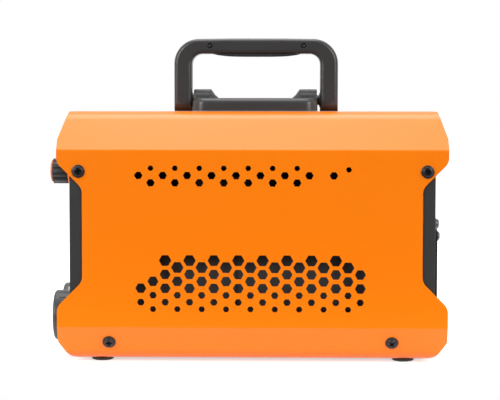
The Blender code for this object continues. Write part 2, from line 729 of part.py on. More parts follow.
def make_feet(cover, tray):
    points = [
        (0, TRAY_TOP + GAP + FOOT_BARB_LENGTH),
        (FOOT_POINT_RADIUS, TRAY_TOP + GAP + FOOT_BARB_LENGTH),
        (FOOT_BARB_RADIUS, TRAY_TOP + GAP),
        (FOOT_NECK_RADIUS, TRAY_TOP + GAP),
        (FOOT_NECK_RADIUS, CASE_BOTTOM - GAP),
        (FOOT_RADIUS, CASE_BOTTOM - GAP),
        (FOOT_RADIUS - FOOT_BULGE, FOOT_HEIGHT / 2),
        (FOOT_TIP_RADIUS, 0),
        (0, 0),
    ]
    for name, x, y in foot_places():
        turned(f"foot_{name}", points, RUBBER, (x, y, 0), (0, 0, 0), segments=14)
        hole = drill(f"cut_foot_{name}", FOOT_NECK_RADIUS + GAP, (x, y, TRAY_BOTTOM), (0, 0, 0), OVERRUN)
        cut(cover, hole)
        cut(tray, hole)


def screw_points(radius, head_radius, head, length):
    """A pan head above the seat at z = 0, and its shank below."""
    return [
        (0, head),
        (head_radius * 0.6, head * 0.93),
        (head_radius * 0.92, head * 0.6),
        (head_radius, head * 0.2),
        (head_radius, GAP),
        (radius, GAP),
        (radius, -length),
        (0, -length),
    ]


def make_cover_screws(cover, tray, panels):
    points = screw_points(SCREW_RADIUS, SCREW_HEAD_RADIUS, SCREW_HEAD_HEIGHT, SCREW_LENGTH)
    for end, x in end_signs():
        upper_x = UPPER_SCREW_SHIFT + x * (CASE_LENGTH / 2 - UPPER_SCREW_SETBACK)
        lower_x = LOWER_SCREW_SHIFT + x * (CASE_LENGTH / 2 - LOWER_SCREW_SETBACK)
        for side, y in side_signs():
            places = (
                ("upper", upper_x, SIDE_Y, CASE_TOP - UPPER_SCREW_DROP, 0, panels[end]),
                ("lower", lower_x, *slope_point(LOWER_SCREW_RISE), LOWER_SLOPE, tray),
            )
            for level, along, reach, height, tilt, holder in places:
                name = f"{level}_{end}_{side}"
                at = (along, y * reach, height)
                turn = (-y * (math.pi / 2 + tilt), 0, 0)
                turned(f"cover_screw_{name}", points, BLACK_STEEL, at, turn, segments=12)
                hole = drill(f"cut_screw_{name}", SCREW_RADIUS + GAP, at, turn, 2 * SCREW_LENGTH)
                cut(cover, hole)
                cut(holder, hole)


def make_panel(name, sign):
    """An end panel: a face with a rim that fits inside the cover."""
    outline = rounded(case_corners(PANEL_INSET, PANEL_FLOOR))
    hollow = rounded(case_corners(PANEL_INSET + PANEL_RIM, PANEL_FLOOR + PANEL_RIM))
    middle = sign * (FACE_X - PANEL_DEPTH / 2)
    panel = add(name, prism([outline], PANEL_DEPTH, name), GREY_PLASTIC, (middle, 0, 0), SECTION)
    inside = helper(f"cut_{name}", prism([hollow], PANEL_DEPTH), (middle - sign * PANEL_WALL, 0, 0), SECTION)
    cut(panel, inside)
    return panel


def panel_hole(panel, name, sign, radius, y, z, segments=16):
    cut(panel, drill(f"cut_{name}", radius, (sign * FACE_X, y, z), TO_REAR, 3 * PANEL_DEPTH, segments))


def make_panel_screws(panel):
    points = screw_points(
        PANEL_SCREW_RADIUS, PANEL_SCREW_HEAD_RADIUS, PANEL_SCREW_HEAD, PANEL_SCREW_LENGTH
    )
    for side, sign in side_signs():
        at = (-FACE_X, sign * PANEL_SCREW_Y, PANEL_SCREW_Z)
        length = PANEL_BOSS_LENGTH + PANEL_WALL / 2
        middle = (-FACE_X + PANEL_WALL / 2 + length / 2, at[1], at[2])
        join(panel, helper(f"boss_{side}", rod(PANEL_BOSS_RADIUS, length, 16), middle, TO_REAR))
        turned(f"panel_screw_{side}", points, STEEL, at, TO_FRONT, segments=10)
        panel_hole(panel, f"panel_screw_{side}", -1, PANEL_SCREW_RADIUS + GAP, *at[1:], segments=12)


def make_handle_block():
    """The block on the case top, with a barrel at each end for the pivots."""
    outline = rectangle(BLOCK_WIDTH, BLOCK_DEPTH, BLOCK_CORNER)
    bottom = CASE_TOP + GAP
    block = add(
        "handle_base",
        prism([outline], BLOCK_HEIGHT, "handle_base"),
        GREY_PLASTIC,
        (BLOCK_X, 0, bottom + BLOCK_HEIGHT / 2),
    )
    soften(block, BLOCK_ROUNDING)
    for end, sign in end_signs():
        edge = BLOCK_X + sign * BLOCK_WIDTH / 2
        middle = (edge - sign * (BARREL_LENGTH / 2 + GAP), 0, PIVOT_Z)
        barrel = rod(BARREL_RADIUS, BARREL_LENGTH, 20)
        taper = rod(BARREL_RADIUS, BARREL_TAPER, 20, tip=BARREL_RADIUS / 4)
        start = edge - sign * (BARREL_LENGTH + BARREL_TAPER / 2)
        turn = TO_FRONT if sign > 0 else TO_REAR
        join(
            block,
            helper(f"barrel_{end}", barrel, middle, TO_REAR),
            helper(f"barrel_taper_{end}", taper, (start, 0, PIVOT_Z), turn),
        )
    for end, sign in end_signs():
        edge = BLOCK_X + sign * BLOCK_WIDTH / 2
        seat = BLOCK_X + sign * (BLOCK_WIDTH / 2 - PIVOT_LENGTH / 2 - GAP)
        bore = rod(PIVOT_RADIUS + RUN, abs(edge - seat) + OVERLAP, 16)
        middle = (edge + seat + sign * OVERLAP) / 2
        cut(block, helper(f"cut_pivot_{end}", bore, (middle, 0, PIVOT_Z), TO_REAR))


def handle_outline():
    """The bail seen from the side, about its pivot."""
    outer = HANDLE_WIDTH / 2
    inner = outer - HANDLE_LEG
    foot = -HANDLE_DEPTH
    shoulder = HANDLE_RISE - HANDLE_ARCH
    under = HANDLE_RISE - GRIP_THICKNESS
    crown = outer - HANDLE_OUTER_RADIUS * 1.2
    half = [
        (inner, foot, 0),
        (outer, foot, 0),
        (outer, shoulder, HANDLE_OUTER_RADIUS),
        (crown / 2, HANDLE_RISE - HANDLE_ARCH / 4, 0),
    ]
    corners = half + [(-x, z, r) for x, z, r in reversed(half)]
    return rounded(corners + [(-inner, under, HANDLE_INNER_RADIUS), (inner, under, HANDLE_INNER_RADIUS)])


def handle_end():
    """The bail seen from its end: upright sides, and round about the pivot."""
    half = HANDLE_DEPTH / 2
    round_end = half * 0.99
    top = 2 * HANDLE_RISE
    return rounded([(half, top, 0), (-half, top, 0), (-half, -half, round_end), (half, -half, round_end)])


def make_handle(pivot):
    at = (HANDLE_X, 0, PIVOT_Z)
    mesh = prism([handle_outline()], HANDLE_DEPTH, "handle")
    handle = add("handle", mesh, GREY_PLASTIC, at, ELEVATION, pivot)
    ends = helper("cut_handle_ends", prism([handle_end()], 2 * HANDLE_WIDTH), at, SECTION, pivot)
    modify(handle, "BOOLEAN", operation="INTERSECT", object=ends)
    soften(handle, HANDLE_ROUNDING)
    for end, sign in end_signs():
        inner = HANDLE_X + sign * (HANDLE_WIDTH / 2 - HANDLE_LEG)
        boss = rod(PIVOT_BOSS_RADIUS, 2 * PIVOT_BOSS, 16)
        join(handle, helper(f"pivot_boss_{end}", boss, (inner, 0, PIVOT_Z), TO_REAR, pivot))
        edge = BLOCK_X + sign * BLOCK_WIDTH / 2
        reach = PIVOT_LENGTH + 2 * GAP
        bore = rod(PIVOT_RADIUS + RUN, reach, 16)
        cut(handle, helper(f"cut_eye_{end}", bore, (edge, 0, PIVOT_Z), TO_REAR, pivot))
        pin = rod(PIVOT_RADIUS, PIVOT_LENGTH, 16, f"pivot_pin_{end}")
        add(f"pivot_pin_{end}", pin, STEEL, (edge, 0, PIVOT_Z), TO_REAR)
    make_grip_pad(handle, pivot)
    make_grip_screws(handle, pivot)


def pad_outline(spread):
    """The soft pad under the grip: flat where it is let in, and bowed below."""
    half = PAD_LENGTH / 2 + spread
    steps = 12
    bow = []
    for i in range(steps + 1):
        u = 1 - 2 * i / steps
        bow.append((u * half, -PAD_BULGE * (1 - u**4) - spread))
    top = PAD_INLAY + spread
    return [Vector(point) for point in bow + [(-half, top), (half, top)]]


def make_grip_pad(handle, pivot):
    at = (HANDLE_X + PAD_X, 0, PIVOT_Z + HANDLE_RISE - GRIP_THICKNESS)
    pad = prism([pad_outline(0)], PAD_DEPTH, "grip_pad")
    add("grip_pad", pad, RUBBER, at, ELEVATION, pivot)
    recess = prism([pad_outline(GAP)], PAD_DEPTH + 2 * GAP)
    cut(handle, helper("cut_grip_pad", recess, at, ELEVATION, pivot))


def make_grip_screws(handle, pivot):
    face = -HANDLE_DEPTH / 2
    for end, sign in end_signs():
        x = HANDLE_X + PAD_X + sign * (PAD_LENGTH / 2 + GRIP_SCREW_OFFSET)
        z = PIVOT_Z + GRIP_SCREW_RISE
        middle = face + GRIP_SCREW_RECESS + GRIP_SCREW_LENGTH / 2
        screw = rod(GRIP_SCREW_RADIUS, GRIP_SCREW_LENGTH, 14, f"grip_screw_{end}")
        add(f"grip_screw_{end}", screw, BLACK_STEEL, (x, middle, z), TO_LEFT, pivot)
        depth = 2 * (GRIP_SCREW_RECESS + GRIP_SCREW_LENGTH + GAP)
        hole = rod(GRIP_SCREW_RADIUS + GAP, depth, 14)
        cut(handle, helper(f"cut_grip_screw_{end}", hole, (x, face, z), TO_LEFT, pivot))


def make_knob(panel, pivot):
    """An orange core with a fluted grip round it, on the potentiometer's shaft."""
    at = (-FACE_X, KNOB_Y, KNOB_Z)
    skirt = KNOB_LIFT + KNOB_SKIRT
    shoulder = skirt + KNOB_GRIP
    bore = SHAFT_RADIUS + RUN
    core = [
        (0, KNOB_LIFT + KNOB_BORE),
        (bore, KNOB_LIFT + KNOB_BORE),
        (bore, KNOB_LIFT),
        (KNOB_SKIRT_RADIUS, KNOB_LIFT),
        (KNOB_SKIRT_RADIUS, skirt - KNOB_SKIRT / 3),
        (KNOB_SKIRT_RADIUS - KNOB_SKIRT / 3, skirt),
        (KNOB_CORE_RADIUS, skirt),
        (KNOB_CORE_RADIUS, shoulder),
        (KNOB_CAP_RADIUS, shoulder),
        (KNOB_CAP_RADIUS * 0.95, shoulder + KNOB_DOME * 0.5),
        (KNOB_CAP_RADIUS * 0.6, shoulder + KNOB_DOME * 0.9),
        (0, shoulder + KNOB_DOME),
    ]
    core.reverse()
    turned("knob_core", core, ORANGE_PLASTIC, at, TO_FRONT, segments=20, parent=pivot)
    flutes = []
    count = KNOB_FLUTES * 4
    for i in range(count):
        angle = 2 * math.pi * i / count
        dip = KNOB_FLUTE_DEPTH * (1 + math.cos(KNOB_FLUTES * angle)) / 2
        flutes.append((KNOB_RADIUS - dip) * Vector((math.cos(angle), math.sin(angle))))
    sleeve = prism([flutes, circle(KNOB_CORE_RADIUS + GAP, 20)], KNOB_GRIP - 2 * GAP, "knob_grip")
    middle = (-FACE_X - skirt - KNOB_GRIP / 2, KNOB_Y, KNOB_Z)
    add("knob_grip", sleeve, BLACK_PLASTIC, middle, TO_FRONT, pivot)
    pot = [
        (0, KNOB_LIFT + KNOB_BORE - GAP),
        (SHAFT_RADIUS, KNOB_LIFT + KNOB_BORE - GAP),
        (SHAFT_RADIUS, KNOB_LIFT / 2),
        (BUSHING_RADIUS, KNOB_LIFT / 2),
        (BUSHING_RADIUS, -PANEL_BACK),
        (POT_RADIUS, -PANEL_BACK),
        (POT_RADIUS, -PANEL_BACK - POT_DEPTH),
        (0, -PANEL_BACK - POT_DEPTH),
    ]
    turned("current_potentiometer", pot, STEEL, at, TO_FRONT, segments=14)
    panel_hole(panel, "potentiometer", -1, BUSHING_RADIUS + GAP, KNOB_Y, KNOB_Z)


def make_display(panel):
    size = (PANEL_WALL + DISPLAY_PROUD - GAP, DISPLAY_WIDTH, DISPLAY_HEIGHT)
    middle = (-FACE_X - DISPLAY_PROUD + size[0] / 2, DISPLAY_Y, DISPLAY_Z)
    window = add("display_window", box(size, "display_window"), SMOKED, middle)
    soften(window, DISPLAY_ROUNDING, 1)
    hole = box((3 * PANEL_DEPTH, DISPLAY_WIDTH + 2 * GAP, DISPLAY_HEIGHT + 2 * GAP))
    cut(panel, helper("cut_display", hole, (-FACE_X, DISPLAY_Y, DISPLAY_Z)))
    plate = box((BOARD_SHEET, DISPLAY_BOARD_WIDTH, DISPLAY_BOARD_HEIGHT), "display_board")
    back = -FACE_X + BOARD_SEAT + BOARD_SHEET / 2
    board = add("display_board", plate, CIRCUIT_BOARD, (back, 0, DISPLAY_BOARD_Z))
    depth = BOARD_SEAT - PANEL_BACK + BOARD_SHEET / 2
    digits = box((depth, DISPLAY_WIDTH - 2 * DIGITS_MARGIN, DISPLAY_HEIGHT - 2 * DIGITS_MARGIN))
    front = -FACE_X + PANEL_BACK + depth / 2
    join(board, helper("digits", digits, (front, DISPLAY_Y, DISPLAY_Z)))


def make_lenses(panel):
    """Two light pipes, from the display board to the panel's face."""
    points = [
        (0, LENS_PROUD),
        (LENS_RADIUS * 0.7, LENS_PROUD * 0.7),
        (LENS_RADIUS, 0),
        (LENS_RADIUS, GAP - BOARD_SEAT),
        (0, GAP - BOARD_SEAT),
    ]
    for name, sign, finish in (("power_lens", 1, GREEN_LENS), ("fault_lens", -1, YELLOW_LENS)):
        y = LENS_Y + sign * LENS_SPACING / 2
        turned(name, points, finish, (-FACE_X, y, LENS_Z), TO_FRONT, segments=12)
        panel_hole(panel, name, -1, LENS_RADIUS + GAP, y, LENS_Z, 12)


def make_button(panel, pivot):
    """A push button, kept in the panel by its flange and pressing the board behind."""
    flange = -PANEL_BACK - BUTTON_FLANGE
    points = [
        (0, BUTTON_PROUD),
        (BUTTON_RADIUS * 0.8, BUTTON_PROUD),
        (BUTTON_RADIUS, BUTTON_PROUD * 0.6),
        (BUTTON_RADIUS, -PANEL_BACK),
        (BUTTON_FLANGE_RADIUS, -PANEL_BACK),
        (BUTTON_FLANGE_RADIUS, flange),
        (BUTTON_STEM_RADIUS, flange),
        (BUTTON_STEM_RADIUS, GAP + BUTTON_TRAVEL - BOARD_SEAT),
        (0, GAP + BUTTON_TRAVEL - BOARD_SEAT),
    ]
    at = (-FACE_X, KNOB_Y, BUTTON_Z)
    turned("mode_button", points, ORANGE_PLASTIC, at, TO_FRONT, segments=16, parent=pivot)
    panel_hole(panel, "button", -1, BUTTON_RADIUS + GAP, KNOB_Y, BUTTON_Z)


def make_sockets(panel):
    """Each weld socket: an insulating body with a brass contact through it."""
    front = SOCKET_REACH
    seat = front - SOCKET_MOUTH_DEPTH
    body = [
        (SOCKET_MOUTH_RADIUS, front),
        (SOCKET_RADIUS - SOCKET_ROUNDING, front),
        (SOCKET_RADIUS, front - SOCKET_ROUNDING),
        (SOCKET_RADIUS, GAP),
        (SOCKET_SLEEVE_RADIUS, GAP),
        (SOCKET_SLEEVE_RADIUS, -SOCKET_SLEEVE),
        (CONTACT_RADIUS + GAP, -SOCKET_SLEEVE),
        (CONTACT_RADIUS + GAP, seat),
        (SOCKET_MOUTH_RADIUS, seat),
    ]
    flange = -SOCKET_SLEEVE - GAP
    stud = flange - CONTACT_FLANGE
    contact = [
        (0, seat - CONTACT_BORE),
        (CONTACT_BORE_RADIUS, seat - CONTACT_BORE),
        (CONTACT_BORE_RADIUS, seat),
        (CONTACT_RADIUS, seat),
        (CONTACT_RADIUS, flange),
        (CONTACT_FLANGE_RADIUS, flange),
        (CONTACT_FLANGE_RADIUS, stud),
        (STUD_RADIUS, stud),
        (STUD_RADIUS, stud - STUD_LENGTH),
        (0, stud - STUD_LENGTH),
    ]
    for pole, sign in (("positive", 1), ("negative", -1)):
        y = sign * SOCKET_SPACING / 2
        at = (-FACE_X, y, SOCKET_Z)
        turned(f"weld_socket_{pole}", body, BLACK_PLASTIC, at, TO_FRONT, closed=True, segments=22)
        turned(f"socket_contact_{pole}", contact, BRASS, at, TO_FRONT, segments=18)
        panel_hole(panel, f"socket_{pole}", -1, SOCKET_SLEEVE_RADIUS + GAP, y, SOCKET_Z, 22)
        make_busbar(pole, y, -FACE_X - stud + GAP)


def make_busbar(pole, y, x):
    """A copper bar from a socket's stud up to the power board."""
    bottom = SOCKET_Z - BAR_TAIL
    top = BOARD_TOP + BAR_SHEET
    corners = [
        (x, bottom, 0),
        (x + BAR_SHEET, bottom, 0),
        (x + BAR_SHEET, BOARD_TOP, 0),
        (x + BAR_FOOT, BOARD_TOP, 0),
        (x + BAR_FOOT, top, 0),
        (x, top, BAR_BEND),
    ]
    mesh = prism([rounded(corners)], BAR_WIDTH, f"busbar_{pole}")
    bar = add(f"busbar_{pole}", mesh, COPPER, (0, y, 0), ELEVATION)
    hole = drill(f"cut_stud_{pole}", STUD_RADIUS + GAP, (x, y, SOCKET_Z), TO_REAR, 4 * BAR_SHEET)
    cut(bar, hole)


def fan_corners():
    half = FAN_HOLE_SPACING / 2
    for level, z in (("upper", half), ("lower", -half)):
        for side, sign in side_signs():
            yield f"{level}_{side}", sign * half, z


def make_fan(panel, pivot):
    """A square axial fan behind the rear panel. Its rotor turns on a stub shaft."""
    seat = FACE_X - PANEL_BACK
    inner = FAN_INNER
    hole = GUARD_SCREW_RADIUS + GAP
    outlines = [rectangle(FAN_SIZE, FAN_SIZE, FAN_CORNER), circle(FAN_BORE_RADIUS, 30)]
    for _, y, z in fan_corners():
        outlines.append(circle(hole, 10, (y, z)))
    middle = (seat - FAN_DEPTH / 2, 0, FAN_Z)
    frame = add("fan_frame", prism(outlines, FAN_DEPTH, "fan_frame"), BLACK_PLASTIC, middle, SECTION)
    plate = inner + FAN_HUB_PLATE / 2
    hub = rod(FAN_HUB_RADIUS, FAN_HUB_PLATE, 20)
    stub = FAN_HUB_PLATE / 2 + FAN_ROTOR_DEPTH - FAN_ROTOR_CAP
    shaft = rod(FAN_SHAFT_RADIUS, stub, 10)
    reach = plate + stub / 2
    join(frame, helper("fan_hub", hub, (plate, 0, FAN_Z), TO_REAR))
    length = FAN_BORE_RADIUS + OVERLAP - FAN_HUB_RADIUS / 2
    for i in range(FAN_STRUTS):
        angle = math.pi / 4 + 2 * math.pi * i / FAN_STRUTS
        out = FAN_HUB_RADIUS / 2 + length / 2
        at = (plate, out * math.cos(angle), FAN_Z + out * math.sin(angle))
        strut = box((FAN_HUB_PLATE - 2 * GAP, length, FAN_STRUT))
        join(frame, helper(f"fan_strut_{i}", strut, at, (angle, 0, 0)))
    join(frame, helper("fan_shaft", shaft, (reach, 0, FAN_Z), TO_REAR))
    make_rotor(inner + FAN_HUB_PLATE + GAP, pivot)
    panel_hole(panel, "fan", 1, FAN_BORE_RADIUS, 0, FAN_Z, 30)
    make_guard(panel)


def make_rotor(start, pivot):
    bore = FAN_SHAFT_RADIUS + RUN
    hub = [
        (0, FAN_ROTOR_DEPTH),
        (FAN_HUB_RADIUS - FAN_HUB_ROUNDING, FAN_ROTOR_DEPTH),
        (FAN_HUB_RADIUS, FAN_ROTOR_DEPTH - FAN_HUB_ROUNDING),
        (FAN_HUB_RADIUS, 0),
        (bore, 0),
        (bore, FAN_ROTOR_DEPTH - FAN_ROTOR_CAP),
        (0, FAN_ROTOR_DEPTH - FAN_ROTOR_CAP),
    ]
    at = (start, 0, FAN_Z)
    rotor = turned("fan_rotor", hub, BLACK_PLASTIC, at, TO_REAR, segments=20, parent=pivot)
    shape = bmesh.new()
    root = FAN_BLADE_ROOT
    for i in range(FAN_BLADES):
        blade = bmesh.ops.create_cube(shape, size=1)["verts"]
        size = (FAN_BLADE_TIP - root, FAN_BLADE_CHORD, FAN_BLADE_SHEET)
        bmesh.ops.scale(shape, vec=size, verts=blade)
        tilt = Matrix.Rotation(FAN_BLADE_PITCH, 4, "X")
        out = Matrix.Translation(((root + FAN_BLADE_TIP) / 2, 0, FAN_ROTOR_DEPTH / 2))
        around = Matrix.Rotation(2 * math.pi * i / FAN_BLADES, 4, "Z")
        bmesh.ops.transform(shape, matrix=around @ out @ tilt, verts=blade)
    join(rotor, helper("fan_blades", mesh_from(shape, "fan_blades"), at, TO_REAR, pivot))


def arc_slot(inner, outer, start, end):
    """One slot of the guard, between two radii and two angles."""
    steps = max(3, math.ceil((end - start) / ARC_STEP))
    angles = [start + (end - start) * i / steps for i in range(steps + 1)]
    there = [outer * Vector((math.cos(a), math.sin(a))) for a in angles]
    back = [inner * Vector((math.cos(a), math.sin(a))) for a in reversed(angles)]
    return there + back


def make_guard(panel):
    outlines = [rectangle(GUARD_SIZE, GUARD_SIZE, GUARD_CORNER)]
    for ring in range(GUARD_RINGS):
        inner = GUARD_CENTRE_RADIUS + ring * (GUARD_SLOT + GUARD_RIB)
        outer = inner + GUARD_SLOT
        spoke = GUARD_RIB / (inner + outer)
        for i in range(GUARD_ARCS):
            start = 2 * math.pi * i / GUARD_ARCS
            end = 2 * math.pi * (i + 1) / GUARD_ARCS
            outlines.append(arc_slot(inner, outer, start + spoke, end - spoke))
    hole = GUARD_SCREW_RADIUS + GAP
    for _, y, z in fan_corners():
        outlines.append(circle(hole, 10, (y, z)))
    middle = (FACE_X + GAP + GUARD_SHEET / 2, 0, FAN_Z)
    add("fan_guard", prism(outlines, GUARD_SHEET, "fan_guard"), BLACK_PLASTIC, middle, SECTION)
    points = screw_points(
        GUARD_SCREW_RADIUS, GUARD_SCREW_HEAD_RADIUS, GUARD_SCREW_HEAD, GUARD_SCREW_LENGTH
    )
    for name, y, z in fan_corners():
        at = (FACE_X + GAP + GUARD_SHEET, y, FAN_Z + z)
        turned(f"guard_screw_{name}", points, STEEL, at, TO_REAR, segments=10)
        panel_hole(panel, f"guard_screw_{name}", 1, hole, y, FAN_Z + z, 10)


def make_earth_bolt(panel):
    points = screw_points(EARTH_RADIUS, EARTH_HEAD_RADIUS, EARTH_HEAD, EARTH_LENGTH)
    turned("earth_bolt", points, STEEL, (FACE_X, EARTH_Y, EARTH_Z), TO_REAR, segments=12)
    panel_hole(panel, "earth_bolt", 1, EARTH_RADIUS + GAP, EARTH_Y, EARTH_Z, 12)


def rocker_outline(length):
    """A rocker in its two positions' middle, about its pivot: (up, out) points."""
    half = length / 2
    rise = half * math.tan(ROCKER_TILT)
    right = [(half, -ROCKER_SKIRT), (half, ROCKER_CROWN + rise), (half - ROCKER_TIP, ROCKER_CROWN + rise)]
    left = [(-u, v) for u, v in reversed(right)]
    keel = [(-half / 2, -2 * ROCKER_SKIRT), (half / 2, -2 * ROCKER_SKIRT)]
    return [Vector(point) for point in right + [(0, ROCKER_CROWN)] + left + keel]


def make_switch(panel, pivot):
    """A power switch: a bezelled housing and a rocker that tips in it."""
    at = (FACE_X, SWITCH_Y, SWITCH_Z)
    sleeve_width = SWITCH_WIDTH - 2 * SWITCH_BEZEL_RIM
    sleeve_height = SWITCH_HEIGHT - 2 * SWITCH_BEZEL_RIM
    bezel = box((SWITCH_BEZEL, SWITCH_WIDTH, SWITCH_HEIGHT), "switch_housing")
    middle = (FACE_X + GAP + SWITCH_BEZEL / 2, SWITCH_Y, SWITCH_Z)
    housing = add("switch_housing", bezel, BLACK_PLASTIC, middle)
    soften(housing, SWITCH_BEZEL / 3, 1)
    depth = SWITCH_DEPTH + GAP + SWITCH_BEZEL / 2
    centre = (FACE_X + GAP + SWITCH_BEZEL / 2 - depth / 2, SWITCH_Y, SWITCH_Z)
    join(housing, helper("switch_sleeve", box((depth, sleeve_width, sleeve_height)), centre))
    well_width = sleeve_width - 2 * SWITCH_WALL
    well_height = sleeve_height - 2 * SWITCH_WALL
    well_depth = SWITCH_DEPTH - SWITCH_FLOOR + 2 * SWITCH_BEZEL
    deep = FACE_X + 2 * SWITCH_BEZEL - well_depth / 2
    cut(housing, helper("cut_switch_well", box((well_depth, well_width, well_height)), (deep, *at[1:])))
    opening = box((3 * PANEL_DEPTH, sleeve_width + 2 * GAP, sleeve_height + 2 * GAP))
    cut(panel, helper("cut_switch", opening, at))
    length = well_height - 2 * ROCKER_END_GAP
    mesh = prism([rocker_outline(length)], well_width - 2 * GAP, "power_rocker")
    add("power_rocker", mesh, BLACK_PLASTIC, pivot.location, rocker_turn(), pivot)


def rocker_turn():
    """Local X up, local Y out of the panel, then tipped to its off position."""
    stand = Matrix(((0, 1, 0), (0, 0, 1), (1, 0, 0)))
    tip = Matrix.Rotation(ROCKER_TILT, 3, "Y")
    return (tip @ stand).to_euler()


def make_gland(panel):
    at = (FACE_X, GLAND_Y, GLAND_Z)
    body = [
        (GLAND_BORE_RADIUS, GLAND_REACH),
        (GLAND_TIP_RADIUS, GLAND_REACH),
        (GLAND_NECK_RADIUS, GLAND_FLANGE),
        (GLAND_RADIUS - GLAND_ROUNDING, GLAND_FLANGE),
        (GLAND_RADIUS, GLAND_FLANGE - GLAND_ROUNDING),
        (GLAND_RADIUS, GAP),
        (GLAND_NECK_RADIUS, GAP),
        (GLAND_NECK_RADIUS, -GLAND_TAIL),
        (GLAND_BORE_RADIUS, -GLAND_TAIL),
    ]
    turned("cable_gland", body, BLACK_PLASTIC, at, TO_REAR, closed=True, segments=18)
    panel_hole(panel, "gland", 1, GLAND_NECK_RADIUS + GAP, GLAND_Y, GLAND_Z, 18)
    nut = prism([circle(GLAND_NUT_RADIUS, 6), circle(GLAND_NECK_RADIUS + GAP, 18)], GLAND_NUT, "gland_nut")
    middle = (FACE_X - PANEL_BACK - GLAND_NUT / 2, GLAND_Y, GLAND_Z)
    add("gland_nut", nut, BLACK_PLASTIC, middle, SECTION)


def heatsink_outline():
    """A comb of fins below a base. The outer fins are legs that stand on the tray."""
    half = HEATSINK_WIDTH / 2
    top = HEATSINK_HEIGHT
    root = top - HEATSINK_BASE
    pitch = (HEATSINK_WIDTH - HEATSINK_FIN) / (HEATSINK_FINS - 1)
    points = [(half, top), (-half, top)]
    for i in range(HEATSINK_FINS):
        left = -half + i * pitch
        outer = i in (0, HEATSINK_FINS - 1)
        foot = 0 if outer else root - HEATSINK_FIN_LENGTH
        edge = [(left, root), (left, foot), (left + HEATSINK_FIN, foot), (left + HEATSINK_FIN, root)]
        points += edge[1:] if i == 0 else edge[:-1] if i == HEATSINK_FINS - 1 else edge
    return [Vector(point) for point in points]


def make_heatsinks():
    start = SINK_X
    for name, length in (("diode_heatsink", DIODE_SINK_LENGTH), ("switch_heatsink", SWITCH_SINK_LENGTH)):
        mesh = prism([heatsink_outline()], length, name)
        add(name, mesh, BLACK_ALUMINIUM, (start + length / 2, 0, TRAY_TOP + GAP), SECTION)
        start += length + SINK_SPLIT


def make_boards():
    board = box((BOARD_LENGTH, BOARD_WIDTH, BOARD_SHEET), "power_board")
    add("power_board", board, CIRCUIT_BOARD, (BOARD_X + BOARD_LENGTH / 2, 0, BOARD_Z))
    control = box((CONTROL_LENGTH, BOARD_SHEET, CONTROL_HEIGHT), "control_board")
    x = BOARD_X + CONTROL_FRONT + CONTROL_LENGTH / 2
    at = (x, CONTROL_Y, BOARD_TOP + CONTROL_HEIGHT / 2)
    add("control_board", control, CIRCUIT_BOARD, at)


def make_transformer():
    window = CORE_HEIGHT - 2 * CORE_LEG
    offset = (CORE_MIDDLE + CORE_WINDOW) / 2
    outlines = [rectangle(CORE_WIDTH, CORE_HEIGHT)]
    for sign in (-1, 1):
        outlines.append(rectangle(CORE_WINDOW, window, centre=(sign * offset, 0)))
    at = (CORE_X, CORE_Y, BOARD_TOP + CORE_HEIGHT / 2)
    core = prism(outlines, CORE_DEPTH, "transformer_core")
    add("transformer_core", core, FERRITE, at, ELEVATION)
    inner = (CORE_MIDDLE + 2 * GAP, CORE_DEPTH + 2 * GAP)
    outer = [side + 2 * WINDING_WALL for side in inner]
    rings = [rectangle(*outer, WINDING_CORNER), rectangle(*inner)]
    winding = prism(rings, window - 2 * GAP, "transformer_winding")
    add("transformer_winding", winding, COPPER, at)


def make_choke():
    r = CHOKE_ROUNDING
    points = [
        (CHOKE_BORE_RADIUS, CHOKE_HEIGHT),
        (CHOKE_RADIUS - r, CHOKE_HEIGHT),
        (CHOKE_RADIUS, CHOKE_HEIGHT - r),
        (CHOKE_RADIUS, r),
        (CHOKE_RADIUS - r, 0),
        (CHOKE_BORE_RADIUS, 0),
    ]
    turned("output_choke", points, COPPER, (CHOKE_X, 0, BOARD_TOP), (0, 0, 0), closed=True, segments=20)


def make_capacitors():
    r = CAPACITOR_ROUNDING
    points = [
        (0, CAPACITOR_HEIGHT),
        (CAPACITOR_RADIUS - r, CAPACITOR_HEIGHT),
        (CAPACITOR_RADIUS, CAPACITOR_HEIGHT - r),
        (CAPACITOR_RADIUS, 0),
        (0, 0),
    ]
    for end, sign in end_signs():
        at = (CAPACITOR_X + sign * CAPACITOR_SPACING / 2, CAPACITOR_Y, BOARD_TOP)
        turned(f"bus_capacitor_{end}", points, BLACK_PLASTIC, at, (0, 0, 0), segments=20)


def main():
    handle_pivot = new_empty("handle_pivot", (HANDLE_X, 0, PIVOT_Z), CASE)
    knob_axis = new_empty("knob_axis", (-FACE_X, KNOB_Y, KNOB_Z), CASE)
    button_axis = new_empty("button_axis", (-FACE_X, KNOB_Y, BUTTON_Z), CASE)
    fan_axis = new_empty("fan_axis", (FACE_X, 0, FAN_Z), CASE)
    rocker_pivot = new_empty("rocker_pivot", (FACE_X, SWITCH_Y, SWITCH_Z), CASE)
    cover = make_cover()
    tray = make_tray()
    panels = {end: make_panel(f"{end}_panel", sign) for end, sign in end_signs()}
    make_feet(cover, tray)
    make_cover_screws(cover, tray, panels)
    make_panel_screws(panels["front"])
    make_handle_block()
    make_handle(handle_pivot)
    make_knob(panels["front"], knob_axis)
    make_display(panels["front"])
    make_lenses(panels["front"])
    make_button(panels["front"], button_axis)
    make_sockets(panels["front"])
    make_fan(panels["rear"], fan_axis)
    make_earth_bolt(panels["rear"])
    make_switch(panels["rear"], rocker_pivot)
    make_gland(panels["rear"])
    make_heatsinks()
    make_boards()
    make_transformer()
    make_choke()
    make_capacitors()
    for sheet in (cover, tray):
        modify(sheet, "WEIGHTED_NORMAL", weight=90, keep_sharp=True)


main()
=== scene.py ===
import json
import math

import bpy
from mathutils import Matrix, Vector


